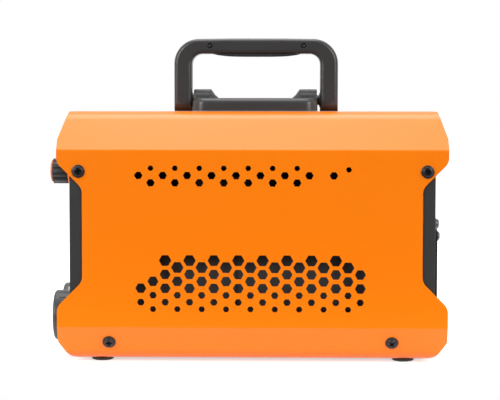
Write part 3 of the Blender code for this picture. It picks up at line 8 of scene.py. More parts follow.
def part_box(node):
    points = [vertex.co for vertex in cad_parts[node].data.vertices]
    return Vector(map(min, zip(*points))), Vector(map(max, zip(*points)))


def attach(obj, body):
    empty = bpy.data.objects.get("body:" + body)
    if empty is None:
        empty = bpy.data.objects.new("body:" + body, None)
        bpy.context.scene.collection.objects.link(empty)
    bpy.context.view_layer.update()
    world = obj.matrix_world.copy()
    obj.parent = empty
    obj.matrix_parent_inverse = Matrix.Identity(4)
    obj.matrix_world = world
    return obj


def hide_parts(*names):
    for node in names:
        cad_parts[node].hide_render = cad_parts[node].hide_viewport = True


mm = 0.001
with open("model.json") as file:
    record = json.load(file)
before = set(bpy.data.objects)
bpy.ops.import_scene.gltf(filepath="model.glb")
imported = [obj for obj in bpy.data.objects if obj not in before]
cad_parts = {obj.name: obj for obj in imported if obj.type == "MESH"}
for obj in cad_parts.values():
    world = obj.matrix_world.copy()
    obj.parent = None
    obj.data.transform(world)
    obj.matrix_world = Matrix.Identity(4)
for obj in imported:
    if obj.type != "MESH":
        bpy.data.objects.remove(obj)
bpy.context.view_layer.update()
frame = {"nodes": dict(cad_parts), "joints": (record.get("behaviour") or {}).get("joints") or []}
nodes = frame["nodes"]
print("frame loaded:", len(nodes), "nodes")


# handy moves

toolLook = {
    "lineMerge": 1e-7,
    "spinMerge": 1e-6,
    "copyMerge": 2e-6,
    "flat": math.radians(0.6),  # flatter edges of a CAD copy are dissolved
    "straight": math.radians(1),  # flatter corners get no arc
    "quarter": 8,  # steps of a quarter round in a turned section
}


def deselectAll():
    if bpy.context.mode != "OBJECT":
        bpy.ops.object.mode_set(mode="OBJECT")
    bpy.ops.object.select_all(action="DESELECT")


def activate(piece):
    deselectAll()
    piece.select_set(True)
    bpy.context.view_layer.objects.active = piece


def editPiece(piece, selectMode="VERT"):
    activate(piece)
    bpy.ops.object.mode_set(mode="EDIT")
    bpy.ops.mesh.select_mode(type=selectMode)
    bpy.ops.mesh.select_all(action="DESELECT")


def pickFaces(piece, test):
    # test gets a face's middle and normal
    editPiece(piece, "FACE")
    bpy.ops.object.mode_set(mode="OBJECT")
    for face in piece.data.polygons:
        face.select = bool(test(face.center, face.normal))
    bpy.ops.object.mode_set(mode="EDIT")


def pickEdges(piece, test):
    # test gets an edge's two ends
    editPiece(piece, "EDGE")
    bpy.ops.object.mode_set(mode="OBJECT")
    points = piece.data.vertices
    for edge in piece.data.edges:
        edge.select = bool(test(points[edge.vertices[0]].co, points[edge.vertices[1]].co))
    bpy.ops.object.mode_set(mode="EDIT")


def settle(piece, place=None):
    # the object ends at the origin, with its place in its mesh
    activate(piece)
    if place is not None:
        piece.matrix_world = place
    bpy.ops.object.transform_apply(location=True, rotation=True, scale=True)
    return piece


def startBlock(name, low, high):
    deselectAll()
    low, high = Vector(low), Vector(high)
    bpy.ops.mesh.primitive_cube_add(size=1, location=(low + high) / 2)
    block = bpy.context.object
    block.name = name
    block.scale = high - low
    return settle(block)


def startRod(name, radius, length, middle, turn=(0, 0, 0), sides=32):
    deselectAll()
    bpy.ops.mesh.primitive_cylinder_add(
        vertices=sides, radius=radius, depth=length, location=middle, rotation=turn
    )
    rod = bpy.context.object
    rod.name = name
    return settle(rod)


def drawLine(name, points):
    # one vertex, extruded from point to point
    points = [Vector(point) for point in points]
    deselectAll()
    bpy.ops.mesh.primitive_plane_add(size=mm, location=points[0])
    line = bpy.context.object
    line.name = name
    settle(line)
    editPiece(line)
    bpy.ops.mesh.select_all(action="SELECT")
    bpy.ops.mesh.merge(type="CENTER")
    for here, there in zip(points, points[1:]):
        bpy.ops.mesh.extrude_vertices_move(TRANSFORM_OT_translate={"value": there - here})
    bpy.ops.mesh.select_all(action="SELECT")
    return line


def extrudeOutline(name, points, way):
    # a closed outline, filled and pulled along
    piece = drawLine(name, points)
    bpy.ops.mesh.edge_face_add()
    bpy.ops.mesh.extrude_region_move(TRANSFORM_OT_translate={"value": Vector(way)})
    bpy.ops.mesh.select_all(action="SELECT")
    bpy.ops.mesh.normals_make_consistent(inside=False)
    deselectAll()
    return piece


def lathe(name, section, steps=48, closed=False):
    # (radius, height) points spun about Z
    points = [(r, 0, z) for r, z in section]
    piece = drawLine(name, points + points[:1] if closed else points)
    bpy.ops.mesh.remove_doubles(threshold=toolLook["lineMerge"])
    bpy.ops.mesh.spin(steps=steps, angle=2 * math.pi, center=(0, 0, 0), axis=(0, 0, 1))
    bpy.ops.mesh.select_all(action="SELECT")
    bpy.ops.mesh.remove_doubles(threshold=toolLook["spinMerge"])
    bpy.ops.mesh.normals_make_consistent(inside=False)
    deselectAll()
    return piece


def quarterTurn(steps, first=0):
    # (sine, cosine) pairs from straight up to straight out
    for k in range(first, steps + 1):
        angle = math.pi / 2 * k / steps
        yield math.sin(angle), math.cos(angle)


def roundedLine(corners, step=math.radians(6), closed=True):
    # (u, v, radius) corners to points, with an arc at each corner
    points = [Vector(corner[:2]) for corner in corners]
    line = []
    for i, corner in enumerate(points):
        if not closed and i in (0, len(points) - 1):
            line.append(corner)
            continue
        back = (points[i - 1] - corner).normalized()
        ahead = (points[(i + 1) % len(points)] - corner).normalized()
        turn = math.pi - back.angle(ahead)
        radius = corners[i][2]
        if radius <= 0 or turn < toolLook["straight"]:
            line.append(corner)
            continue
        centre = corner + (back + ahead).normalized() * radius / math.cos(turn / 2)
        spoke = corner + back * radius * math.tan(turn / 2) - centre
        sweep = math.copysign(turn, (-back).cross(ahead))
        count = max(2, math.ceil(turn / step))
        line += [centre + Matrix.Rotation(sweep * k / count, 2) @ spoke for k in range(count + 1)]
    return line


def applyModifier(piece, kind, **settings):
    activate(piece)
    modifier = piece.modifiers.new(kind.lower(), kind)
    for key, value in settings.items():
        setattr(modifier, key, value)
    bpy.ops.object.modifier_apply(modifier=modifier.name)


def combine(piece, *tools, operation="DIFFERENCE"):
    for tool in tools:
        applyModifier(piece, "BOOLEAN", operation=operation, object=tool, solver="EXACT")
        bpy.data.objects.remove(tool)


def softenEdges(piece, width, segments=3, angle=40):
    applyModifier(
        piece,
        "BEVEL",
        width=width,
        segments=segments,
        limit_method="ANGLE",
        angle_limit=math.radians(angle),
        harden_normals=False,
    )


def smooth(piece, angle=35, weighted=False):
    activate(piece)
    bpy.ops.object.shade_smooth_by_angle(angle=math.radians(angle))
    if weighted:
        applyModifier(piece, "WEIGHTED_NORMAL", weight=80, keep_sharp=True)


def copyPiece(piece, name, place):
    activate(piece)
    bpy.ops.object.duplicate(linked=False)
    copy = bpy.context.object
    copy.name = name
    return settle(copy, place)


def joinPieces(name, parts):
    deselectAll()
    for part in parts:
        part.select_set(True)
    bpy.context.view_layer.objects.active = parts[0]
    bpy.ops.object.join()
    parts[0].name = name
    return parts[0]


def dress(piece, finish, body, slot, *replaced):
    piece.data.materials.clear()
    piece.data.materials.append(finish)
    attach(piece, body)
    if replaced:
        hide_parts(*replaced)
    return piece


def softCopy(node, name, width):
    # a CAD node's shape again, with its edges rounded
    piece = bpy.data.objects.new(name, nodes[node].data.copy())
    bpy.context.scene.collection.objects.link(piece)
    editPiece(piece)
    bpy.ops.mesh.select_all(action="SELECT")
    bpy.ops.mesh.remove_doubles(threshold=toolLook["copyMerge"])
    bpy.ops.mesh.dissolve_limited(angle_limit=toolLook["flat"])
    activate(piece)
    if piece.data.has_custom_normals:
        bpy.ops.mesh.customdata_custom_splitnormals_clear()
    softenEdges(piece, width, 2)
    smooth(piece, weighted=True)
    return piece


def middleOf(node):
    low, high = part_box(node)
    return (low + high) / 2


# camera at the photograph's place

cameraLook = {
    "place": Vector((32.69, -1362.6, 202.31)) * mm,
    "target": Vector((3.37, -65, 129.06)) * mm,
    "lens": 120.24,
    "sensor": 36,
    "farthest": 50,
    "roll": math.radians(0.062),
}


def placeCamera():
    deselectAll()
    bpy.ops.object.camera_add(location=cameraLook["place"])
    camera = bpy.context.object
    camera.name = "photoCamera"
    away = cameraLook["target"] - cameraLook["place"]
    turn = away.to_track_quat("-Z", "Y").to_matrix().to_4x4()
    camera.matrix_world = (
        Matrix.Translation(cameraLook["place"]) @ turn @ Matrix.Rotation(cameraLook["roll"], 4, "Z")
    )
    camera.data.lens = cameraLook["lens"]
    camera.data.sensor_width = cameraLook["sensor"]
    camera.data.clip_end = cameraLook["farthest"]
    bpy.context.scene.camera = camera


# light: a white room that darkens behind the camera, with lamps above and to both sides

lightLook = {
    "room": 0.6,  # level of the room's own light
    "dimFrom": 0.2,  # cosines to the photographed side, where the room darkens
    "dimTo": 0.85,
    "dimmest": 0.08,
    "lamps": (
        # name, place, target, size, watts
        ("topLamp", (-0.05, -0.4, 1.7), (0, 0, 0.1), (0.95, 0.9), 5.5),
        ("ridgeLamp", (-0.05, 0.35, 1.7), (0, 0, 0.1), (0.95, 0.9), 12),
        ("leftLamp", (-1.35, -1.7, 0.9), (0, 0, 0.1), (0.8, 1.2), 30),
        ("rightLamp", (1.35, -1.7, 0.9), (0, 0, 0.1), (0.8, 1.2), 26.5),
    ),
    "floorTone": 0.9,
    "floorGlow": 0.6,
    "floorLow": (-15, -0.14, -0.001),
    "floorHigh": (15, 15, -0.0002),
}


def mathNode(made, links, operation, *values):
    node = made.new("ShaderNodeMath")
    node.operation = operation
    for socket, value in zip(node.inputs, values):
        if isinstance(value, (int, float)):
            socket.default_value = value
        else:
            links.new(value, socket)
    return node.outputs[0]


def paintWorld():
    world = bpy.data.worlds.new("whiteRoom")
    bpy.context.scene.world = world
    world.use_nodes = True
    links, made = world.node_tree.links, world.node_tree.nodes
    background = made["Background"]
    background.inputs["Color"].default_value = (1, 1, 1, 1)
    place = made.new("ShaderNodeTexCoord")
    facing = made.new("ShaderNodeVectorMath")
    facing.operation = "DOT_PRODUCT"
    facing.inputs[1].default_value = (0, -1, 0)
    links.new(place.outputs["Generated"], facing.inputs[0])
    dim = made.new("ShaderNodeMapRange")
    dim.interpolation_type = "SMOOTHSTEP"
    dim.inputs["From Min"].default_value = lightLook["dimFrom"]
    dim.inputs["From Max"].default_value = lightLook["dimTo"]
    dim.inputs["To Min"].default_value = 1.0
    dim.inputs["To Max"].default_value = lightLook["dimmest"]
    links.new(facing.outputs["Value"], dim.inputs["Value"])
    path = made.new("ShaderNodeLightPath").outputs
    whole = mathNode(made, links, "MAXIMUM", path["Is Camera Ray"], path["Is Transmission Ray"])
    room = lightLook["room"]
    shine = mathNode(made, links, "MULTIPLY_ADD", path["Is Glossy Ray"], 1 - room, room)
    level = mathNode(made, links, "MULTIPLY", shine, dim.outputs["Result"])
    links.new(mathNode(made, links, "MAXIMUM", level, whole), background.inputs["Strength"])


def paintFloor():
    floor = startBlock("paleFloor", lightLook["floorLow"], lightLook["floorHigh"])
    paint = bpy.data.materials.new("floorPaint")
    paint.use_nodes = True
    links, made = paint.node_tree.links, paint.node_tree.nodes
    shader = made["Principled BSDF"]
    tone = lightLook["floorTone"]
    shader.inputs["Base Color"].default_value = (tone, tone, tone, 1)
    shader.inputs["Roughness"].default_value = 1.0
    shader.inputs["Specular IOR Level"].default_value = 0.0
    shader.inputs["Emission Color"].default_value = (1, 1, 1, 1)
    path = made.new("ShaderNodeLightPath").outputs
    seen = mathNode(made, links, "MAXIMUM", path["Is Camera Ray"], path["Is Transmission Ray"])
    seen = mathNode(made, links, "MAXIMUM", seen, path["Is Glossy Ray"])
    glow = mathNode(made, links, "MULTIPLY", seen, lightLook["floorGlow"])
    links.new(glow, shader.inputs["Emission Strength"])
    floor.data.materials.append(paint)


def lightScene():
    bpy.context.scene.view_settings.view_transform = "Standard"
    paintWorld()
    for name, place, target, size, watts in lightLook["lamps"]:
        deselectAll()
        bpy.ops.object.light_add(type="AREA", location=place)
        lamp = bpy.context.object
        lamp.name = name
        lamp.data.shape = "RECTANGLE"
        lamp.data.size, lamp.data.size_y = size
        lamp.data.energy = watts
        away = Vector(target) - Vector(place)
        lamp.rotation_euler = away.to_track_quat("-Z", "Y").to_euler()
    paintFloor()


placeCamera()
lightScene()
print("camera and light set")


# finishes

grainLook = {"fineDetail": 2, "slowScale": 14, "slowDetail": 3, "relief": 0.3 * mm}
lineLook = {"detail": 3, "relief": 0.1 * mm}


def newGroup(name, inputs, outputs):
    group = bpy.data.node_groups.new(name, "ShaderNodeTree")
    for label, kind in inputs:
        group.interface.new_socket(name=label, in_out="INPUT", socket_type=kind)
    for label, kind in outputs:
        group.interface.new_socket(name=label, in_out="OUTPUT", socket_type=kind)
    return group, group.nodes.new("NodeGroupInput"), group.nodes.new("NodeGroupOutput")


def makeGrain():
    # fine moulded or sprayed grain, with slow changes of tone over it
    group, given, made = newGroup(
        "surfaceGrain",
        [
            ("Tone", "NodeSocketColor"),
            ("Scale", "NodeSocketFloat"),
            ("Spread", "NodeSocketFloat"),
            ("Roughness", "NodeSocketFloat"),
            ("Rough Spread", "NodeSocketFloat"),
        ],
        [
            ("Color", "NodeSocketColor"),
            ("Roughness", "NodeSocketFloat"),
            ("Height", "NodeSocketFloat"),
        ],
    )
    links, new = group.links, group.nodes.new
    place = new("ShaderNodeTexCoord")
    grain = new("ShaderNodeTexNoise")
    grain.inputs["Detail"].default_value = grainLook["fineDetail"]
    links.new(place.outputs["Object"], grain.inputs["Vector"])
    links.new(given.outputs["Scale"], grain.inputs["Scale"])
    slow = new("ShaderNodeTexNoise")
    slow.inputs["Scale"].default_value = grainLook["slowScale"]
    slow.inputs["Detail"].default_value = grainLook["slowDetail"]
    links.new(place.outputs["Object"], slow.inputs["Vector"])
    mixed = mathNode(group.nodes, links, "ADD", grain.outputs["Fac"], slow.outputs["Fac"])
    centred = mathNode(group.nodes, links, "SUBTRACT", mixed, 1.0)
    tone = mathNode(group.nodes, links, "MULTIPLY_ADD", centred, given.outputs["Spread"], 1.0)
    shaded = new("ShaderNodeVectorMath")
    shaded.operation = "SCALE"
    links.new(given.outputs["Tone"], shaded.inputs[0])
    links.new(tone, shaded.inputs["Scale"])
    links.new(shaded.outputs["Vector"], made.inputs["Color"])
    spread, roughness = given.outputs["Rough Spread"], given.outputs["Roughness"]
    rough = mathNode(group.nodes, links, "MULTIPLY_ADD", centred, spread, roughness)
    links.new(rough, made.inputs["Roughness"])
    links.new(grain.outputs["Fac"], made.inputs["Height"])
    return group


def makeBrushing():
    # fine lines left by turning or drawing, along one axis
    group, given, made = newGroup(
        "toolLines",
        [
            ("Stretch", "NodeSocketVector"),
            ("Roughness", "NodeSocketFloat"),
            ("Spread", "NodeSocketFloat"),
        ],
        [("Roughness", "NodeSocketFloat"), ("Height", "NodeSocketFloat")],
    )
    links, new = group.links, group.nodes.new
    place = new("ShaderNodeTexCoord")
    stretch = new("ShaderNodeVectorMath")
    stretch.operation = "MULTIPLY"
    links.new(place.outputs["Object"], stretch.inputs[0])
    links.new(given.outputs["Stretch"], stretch.inputs[1])
    lines = new("ShaderNodeTexNoise")
    lines.inputs["Scale"].default_value = 1
    lines.inputs["Detail"].default_value = lineLook["detail"]
    links.new(stretch.outputs["Vector"], lines.inputs["Vector"])
    centred = mathNode(group.nodes, links, "SUBTRACT", lines.outputs["Fac"], 0.5)
    spread, roughness = given.outputs["Spread"], given.outputs["Roughness"]
    rough = mathNode(group.nodes, links, "MULTIPLY_ADD", centred, spread, roughness)
    links.new(rough, made.inputs["Roughness"])
    links.new(lines.outputs["Fac"], made.inputs["Height"])
    return group


surfaceGrain = makeGrain()
toolLines = makeBrushing()


def newFinish(name, tone, roughness, grain, spread=0.06, roughSpread=0.1, bump=0.1, **sockets):
    finish = bpy.data.materials.new(name)
    finish.use_nodes = True
    links, made = finish.node_tree.links, finish.node_tree.nodes
    shader = made["Principled BSDF"]
    field = made.new("ShaderNodeGroup")
    field.node_tree = surfaceGrain
    field.inputs["Tone"].default_value = (*tone, 1)
    field.inputs["Scale"].default_value = grain
    field.inputs["Spread"].default_value = spread
    field.inputs["Roughness"].default_value = roughness
    field.inputs["Rough Spread"].default_value = roughSpread
    links.new(field.outputs["Color"], shader.inputs["Base Color"])
    links.new(field.outputs["Roughness"], shader.inputs["Roughness"])
    relief = made.new("ShaderNodeBump")
    relief.inputs["Strength"].default_value = bump
    relief.inputs["Distance"].default_value = grainLook["relief"]
    links.new(field.outputs["Height"], relief.inputs["Height"])
    links.new(relief.outputs["Normal"], shader.inputs["Normal"])
    for label, value in sockets.items():
        shader.inputs[label.replace("_", " ")].default_value = value
    return finish


def newMetal(name, tone, roughness, stretch, spread=0.15, bump=0.05, metallic=1.0):
    finish = bpy.data.materials.new(name)
    finish.use_nodes = True
    links, made = finish.node_tree.links, finish.node_tree.nodes
    shader = made["Principled BSDF"]
    shader.inputs["Base Color"].default_value = (*tone, 1)
    shader.inputs["Metallic"].default_value = metallic
    lines = made.new("ShaderNodeGroup")
    lines.node_tree = toolLines
    lines.inputs["Stretch"].default_value = stretch
    lines.inputs["Roughness"].default_value = roughness
    lines.inputs["Spread"].default_value = spread
    links.new(lines.outputs["Roughness"], shader.inputs["Roughness"])
    relief = made.new("ShaderNodeBump")
    relief.inputs["Strength"].default_value = bump
    relief.inputs["Distance"].default_value = lineLook["relief"]
    links.new(lines.outputs["Height"], relief.inputs["Height"])
    links.new(relief.outputs["Normal"], shader.inputs["Normal"])
    return finish


# tone, roughness, size of grain, spread of tone and of roughness, bump
orangePowder = newFinish(
    "orangePowder", (0.94, 0.205, 0.0), 0.29, 1100, 0.012, 0.03, 0.02, Specular_IOR_Level=0.45
)
greyPlastic = newFinish("greyPlastic", (0.035, 0.035, 0.035), 0.32, 2400, 0.12, 0.12, 0.16)
blackPlastic = newFinish("blackPlastic", (0.018, 0.018, 0.019), 0.42, 2400, 0.12, 0.1, 0.12)
socketPlastic = newFinish("socketPlastic", (0.052, 0.053, 0.055), 0.34, 2000, 0.12, 0.1, 0.15)
orangePlastic = newFinish("orangePlastic", (0.95, 0.2, 0.035), 0.35, 1800, 0.04, 0.06, 0.05)
guardPlastic = newFinish(
    "guardPlastic", (0.007, 0.007, 0.007), 0.5, 2000, 0.12, 0.1, 0.1, Specular_IOR_Level=0.25
)
rubber = newFinish("rubber", (0.014, 0.014, 0.014), 0.72, 1500, 0.2, 0.1, 0.3)
blackAluminium = newFinish("blackAluminium", (0.062, 0.066, 0.072), 0.55, 1500, 0.1, 0.1, 0.1)
ferrite = newFinish("ferrite", (0.028, 0.028, 0.03), 0.6, 900, 0.25, 0.1, 0.2)
blackSheet = newFinish("blackSheet", (0.022, 0.022, 0.023), 0.42, 1100, 0.08, 0.08, 0.12)
smokedWindow = newFinish(
    "smokedWindow", (0.006, 0.006, 0.008), 0.08, 300, 0.1, 0.03, 0.0, Coat_Weight=1.0
)
greenLens = newFinish("greenLens", (0.05, 0.42, 0.1), 0.15, 500, 0.1, 0.05, 0.02)
yellowLens = newFinish("yellowLens", (0.7, 0.42, 0.03), 0.15, 500, 0.1, 0.05, 0.02)
paleInk = newFinish("paleInk", (0.62, 0.62, 0.6), 0.6, 1500, 0.08, 0.1, 0.1)

# tone, roughness, tool lines per metre along each axis
blackZinc = newMetal("blackZinc", (0.03, 0.03, 0.033), 0.3, (900, 900, 900), metallic=0.65)
dullZinc = newMetal("dullZinc", (0.12, 0.12, 0.12), 0.4, (900, 900, 900), metallic=0.65)
zincSteel = newMetal("zincSteel", (0.36, 0.36, 0.355), 0.45, (300, 1500, 1500))
brass = newMetal("brass", (0.62, 0.43, 0.15), 0.28, (2500, 120, 120))
copper = newMetal("copper", (0.68, 0.29, 0.16), 0.35, (120, 120, 1600))


boardLook = {
    "board": (0.012, 0.05, 0.022),
    "patch": (0.01, 0.042, 0.018),
    "track": (0.02, 0.085, 0.036),
    "scale": 90,
    "trackWidth": 0.06,
}


def makeBoardFinish():
    # dark green board with paler tracks
    look = boardLook
    finish = newFinish("circuitBoard", look["board"], 0.4, 900, 0.2, 0.1, 0.1)
    links, made = finish.node_tree.links, finish.node_tree.nodes
    shader = made["Principled BSDF"]
    place = made.new("ShaderNodeTexCoord")
    tracks = made.new("ShaderNodeTexBrick")
    tracks.inputs["Scale"].default_value = look["scale"]
    tracks.inputs["Mortar Size"].default_value = look["trackWidth"]
    for label, part in (("Color1", "board"), ("Color2", "patch"), ("Mortar", "track")):
        tracks.inputs[label].default_value = (*look[part], 1)
    links.new(place.outputs["Object"], tracks.inputs["Vector"])
    links.new(tracks.outputs["Color"], shader.inputs["Base Color"])
    return finish


circuitBoard = makeBoardFinish()
print("finishes made")


# case cover: the sheet, folded over the top and under the lower edges

coverLook = {
    "sheet": 1.2 * mm,
    "topHalf": 38 * mm,
    "upperDrop": 30.1 * mm,
    "lowerRise": 26.1 * mm,
    "lowerInset": 10.9 * mm,
    "topRadius": 20 * mm,
    "foldRadius": 2.5 * mm,
    "lowerRadius": 14 * mm,
    "lip": 24 * mm,
    "notch": 20 * mm,
    "upperFlap": 39.8 * mm,
    "lowerFlap": 42.2 * mm,
    "topSetback": 6.7 * mm,
    "topSetbackDrop": 21.3 * mm,
    "lowerCorner": 8.2 * mm,
    "lowerCornerRise": 14.2 * mm,
    "lowerLift": 2.4 * mm,
    "lowerSag": 0.8 * mm,
    "endRadius": 3 * mm,
    "notchRadius": 10 * mm,
    "cornerRadius": 6 * mm,
    "rim": 0.22 * mm,
    "strides": 40,
    "footHole": 3.9 * mm,
    "overrun": 10 * mm,  # of a cutter past the sheet
    "span": 200 * mm,  # of the cutter that shapes the ends
    "bendStep": math.radians(4),
}
ventLook = {
    "pitch": 19.05 * mm,
    "span": 150 * mm,  # of the cutters, through both sides
    "upper": {
        "height": 142.3 * mm,
        "step": 5.7 * mm,
        "shift": -3.0 * mm,
        "columns": (-8, -9, -8),
        "counts": (7, 9, 7),
        "widths": (5.3 * mm, 5.3 * mm, 3.7 * mm),
    },
    "lower": {
        "height": 43.4 * mm,
        "step": 5.45 * mm,
        "shift": -1.2 * mm,
        "columns": (-8, -9, -8, -9, -8, -7, -6, -7),
        "counts": (9, 10, 9, 10, 9, 9, 8, 8),
        "widths": [w * mm for w in (4.1, 4.8, 4.8, 7.1, 7.1, 7.1, 8.1, 8.1)],
    },
    "lone": (75.3 * mm, 152.7 * mm, 3.7 * mm),
}
caseLow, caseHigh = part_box("case_cover")
caseX = (caseLow.x + caseHigh.x) / 2
halfLength = (caseHigh.x - caseLow.x) / 2


def foldSection():
    # half of the cover's cross-section, (y, z, bend radius) from the underside up
    look = coverLook
    side = caseHigh.y
    return [
        (side - look["lowerInset"], caseLow.z, look["lowerRadius"]),
        (side, caseLow.z + look["lowerRise"], look["foldRadius"]),
        (side, caseHigh.z - look["upperDrop"], look["foldRadius"]),
        (look["topHalf"], caseHigh.z, look["topRadius"]),
    ]


def sideOutline():
    look = coverLook
    bottom, top, half = caseLow.z, caseHigh.z, halfLength
    lower, upper, notch = bottom + look["lowerFlap"], top - look["upperFlap"], look["notch"]
    corners = [
        (half - 2 * look["lowerCorner"], bottom - look["overrun"], 0),
        (half - 2 * look["lowerCorner"], bottom - look["lowerSag"], 0),
        (half - look["lowerCorner"], bottom + look["lowerLift"], look["notchRadius"]),
        (half, bottom + look["lowerCornerRise"], look["cornerRadius"]),
        (half, lower, look["notchRadius"]),
        (half - notch, lower + notch, look["notchRadius"]),
        (half - notch, upper - notch, look["notchRadius"]),
        (half, upper, look["notchRadius"]),
        (half, top - look["topSetbackDrop"], look["endRadius"]),
        (half - look["topSetback"], top, 0),
        (half - look["topSetback"], top + look["overrun"], 0),
    ]
    return roundedLine(corners + [(-x, z, r) for x, z, r in reversed(corners)])


def ventBars():
    bars = []

    def bar(x, z, width):
        middle = (caseX + x, 0, z)
        radius = width / math.sqrt(3) + coverLook["rim"]
        rod = startRod("ventBar", radius, ventLook["span"], middle, sides=6)
        editPiece(rod)
        bpy.ops.mesh.select_all(action="SELECT")
        for turn, axis in ((math.pi / 2, "X"), (math.pi / 2, "Y")):
            bpy.ops.transform.rotate(value=turn, orient_axis=axis, center_override=middle)
        deselectAll()
        bars.append(rod)

    for field in (ventLook["upper"], ventLook["lower"]):
        rows = zip(field["columns"], field["counts"], field["widths"])
        for row, (column, count, width) in enumerate(rows):
            for i in range(count):
                x = field["shift"] + (column / 2 + i) * ventLook["pitch"]
                bar(x, field["height"] + row * field["step"], width)
    bar(*ventLook["lone"])
    return joinPieces("ventBars", bars)


def makeCover():
    look = coverLook
    half = foldSection()
    lip = caseHigh.y - look["lowerInset"] - look["lip"]
    path = [(lip, caseLow.z, 0)] + half
    path += [(-y, z, r) for y, z, r in reversed(path)]
    points = [(caseLow.x, y, z) for y, z in roundedLine(path, look["bendStep"], closed=False)]
    cover = drawLine("cover", points)
    stride = Vector((2 * halfLength / look["strides"], 0, 0))
    for _ in range(look["strides"]):
        bpy.ops.mesh.extrude_edges_move(TRANSFORM_OT_translate={"value": stride})
    bpy.ops.mesh.select_all(action="SELECT")
    bpy.ops.mesh.normals_make_consistent(inside=False)
    deselectAll()
    outward = max(cover.data.polygons, key=lambda face: face.center.z)
    if outward.normal.z < 0:
        editPiece(cover)
        bpy.ops.mesh.select_all(action="SELECT")
        bpy.ops.mesh.flip_normals()
    applyModifier(cover, "SOLIDIFY", thickness=look["sheet"], offset=-1, use_even_offset=True)
    span = look["span"]
    ends = [(caseX + x, -span / 2, z) for x, z in sideOutline()]
    combine(cover, extrudeOutline("coverEnds", ends, (0, span, 0)), operation="INTERSECT")
    combine(cover, ventBars())
    for node in nodes:
        if node.startswith("foot_"):
            at = middleOf(node)
            at.z = caseLow.z
            combine(cover, startRod("footHole", look["footHole"], look["overrun"], at))
    softenEdges(cover, look["rim"], 2, 50)
    smooth(cover, 40, weighted=True)
    dress(cover, orangePowder, "case", "orange_powder_coat", "case_cover")


makeCover()
print("cover made")


# screws: a low dome on a flange, with a cross recess, modelled once for each size

screwLook = {
    # head, shank, and width and reach of the cross, in mm
    "cover": {"radius": 5.15, "height": 2.9, "shank": 2.4, "length": 9, "slot": 1.5, "reach": 3.0},
    "guard": {"radius": 4.0, "height": 2.2, "shank": 1.9, "length": 20, "slot": 1.0, "reach": 2.2},
    "panel": {"radius": 2.7, "height": 2.9, "shank": 1.5, "length": 9, "slot": 0.8, "reach": 1.6},
    "earth": {"radius": 4.7, "height": 3.5, "shank": 2.4, "length": 10, "slot": 1.2, "reach": 2.6},
    "grip": {"radius": 1.9, "height": 2.0, "shank": 1.2, "length": 9, "slot": 0.6, "reach": 1.2},
}
headLook = {
    "seat": 0.3 * mm,  # the head's underside, above the seat
    "undercut": 0.15 * mm,
    "crown": 0.3,  # flat middle, of the radius
    "dome": (0.5, 0.32),  # start and width of the dome, of the radius
    "domeFoot": 0.36,  # of the head's rise
    "flange": ((0.94, 0.32), (0.985, 0.25), (1, 0.12)),  # of the radius and the rise
    "recess": 0.95,  # of the rise
    "slotFloor": (0.35, 0.5, 1),  # the cross narrows to this
    "sides": 32,
}
screwPlaceLook = {
    "lowerRise": 14.4 * mm,  # of the lower cover screws above the underside
    "gripSink": 2.0 * mm,
    "upperTwist": {"front": 12, "rear": 37},
    "lowerTwist": {"front": 8, "rear": 38},
    "guardTwist": 20,
    "panelTwist": 35,
    "earthTwist": 0,
    "gripTwist": 15,
}


def makeScrew(kind):
    look = headLook
    size = {key: value * mm for key, value in screwLook[kind].items()}
    radius, height, seat = size["radius"], size["height"], look["seat"]
    rise = height - seat
    start, wide = look["dome"]
    foot = look["domeFoot"]
    section = [(0, height), (look["crown"] * radius, height)]
    for out, up in quarterTurn(toolLook["quarter"]):
        section.append((radius * (start + wide * out), seat + rise * (foot + (1 - foot) * up)))
    section += [(radius * out, seat + rise * up) for out, up in look["flange"]]
    section += [
        (radius - look["undercut"], seat),
        (size["shank"], seat),
        (size["shank"], -size["length"]),
        (0, -size["length"]),
    ]
    screw = lathe("screw_" + kind, section, look["sides"])
    depth = rise * look["recess"]
    slots = []
    for angle in (0, math.pi / 2):
        slot = startBlock(
            "screwSlot",
            (-size["reach"], -size["slot"] / 2, height - depth),
            (size["reach"], size["slot"] / 2, height + mm),
        )
        pickFaces(slot, lambda middle, normal: normal.z < -0.9)
        bpy.ops.transform.resize(value=look["slotFloor"])
        deselectAll()
        slots.append(settle(slot, Matrix.Rotation(angle, 4, "Z")))
    combine(screw, *slots)
    smooth(screw, 30)
    return screw


def placeScrews(kind, finish, slot, body, places):
    # each place is (node, point on the seat, direction of the head, twist)
    model = makeScrew(kind)
    for node, seat, out, twist in places:
        turn = Vector(out).to_track_quat("Z", "Y").to_matrix().to_4x4()
        place = Matrix.Translation(seat) @ turn @ Matrix.Rotation(math.radians(twist), 4, "Z")
        dress(copyPiece(model, node + "_dressed", place), finish, body, slot, node)
    bpy.data.objects.remove(model)


def coverScrewPlaces():
    look = screwPlaceLook
    side = caseHigh.y
    rise = look["lowerRise"]
    slope = math.atan2(coverLook["lowerInset"], coverLook["lowerRise"])
    reach = side - coverLook["lowerInset"] + rise * math.tan(slope)
    for end in ("front", "rear"):
        for name, y in (("left", -1), ("right", 1)):
            upper = f"cover_screw_upper_{end}_{name}"
            at = middleOf(upper)
            yield upper, (at.x, y * side, at.z), (0, y, 0), look["upperTwist"][end]
            lower = f"cover_screw_lower_{end}_{name}"
            seat = (middleOf(lower).x, y * reach, caseLow.z + rise)
            yield lower, seat, (0, y * math.cos(slope), -math.sin(slope)), look["lowerTwist"][end]


def facePlaces(start, face, out, twist):
    # screws that stand on a face across the case's length
    for node in sorted(nodes):
        if node.startswith(start):
            at = middleOf(node)
            yield node, (face, at.y, at.z), (out, 0, 0), twist


def gripScrewPlaces():
    for node in ("grip_screw_front", "grip_screw_rear"):
        at = middleOf(node)
        seat = (at.x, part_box(node)[0].y + screwPlaceLook["gripSink"], at.z)
        yield node, seat, (0, -1, 0), screwPlaceLook["gripTwist"]


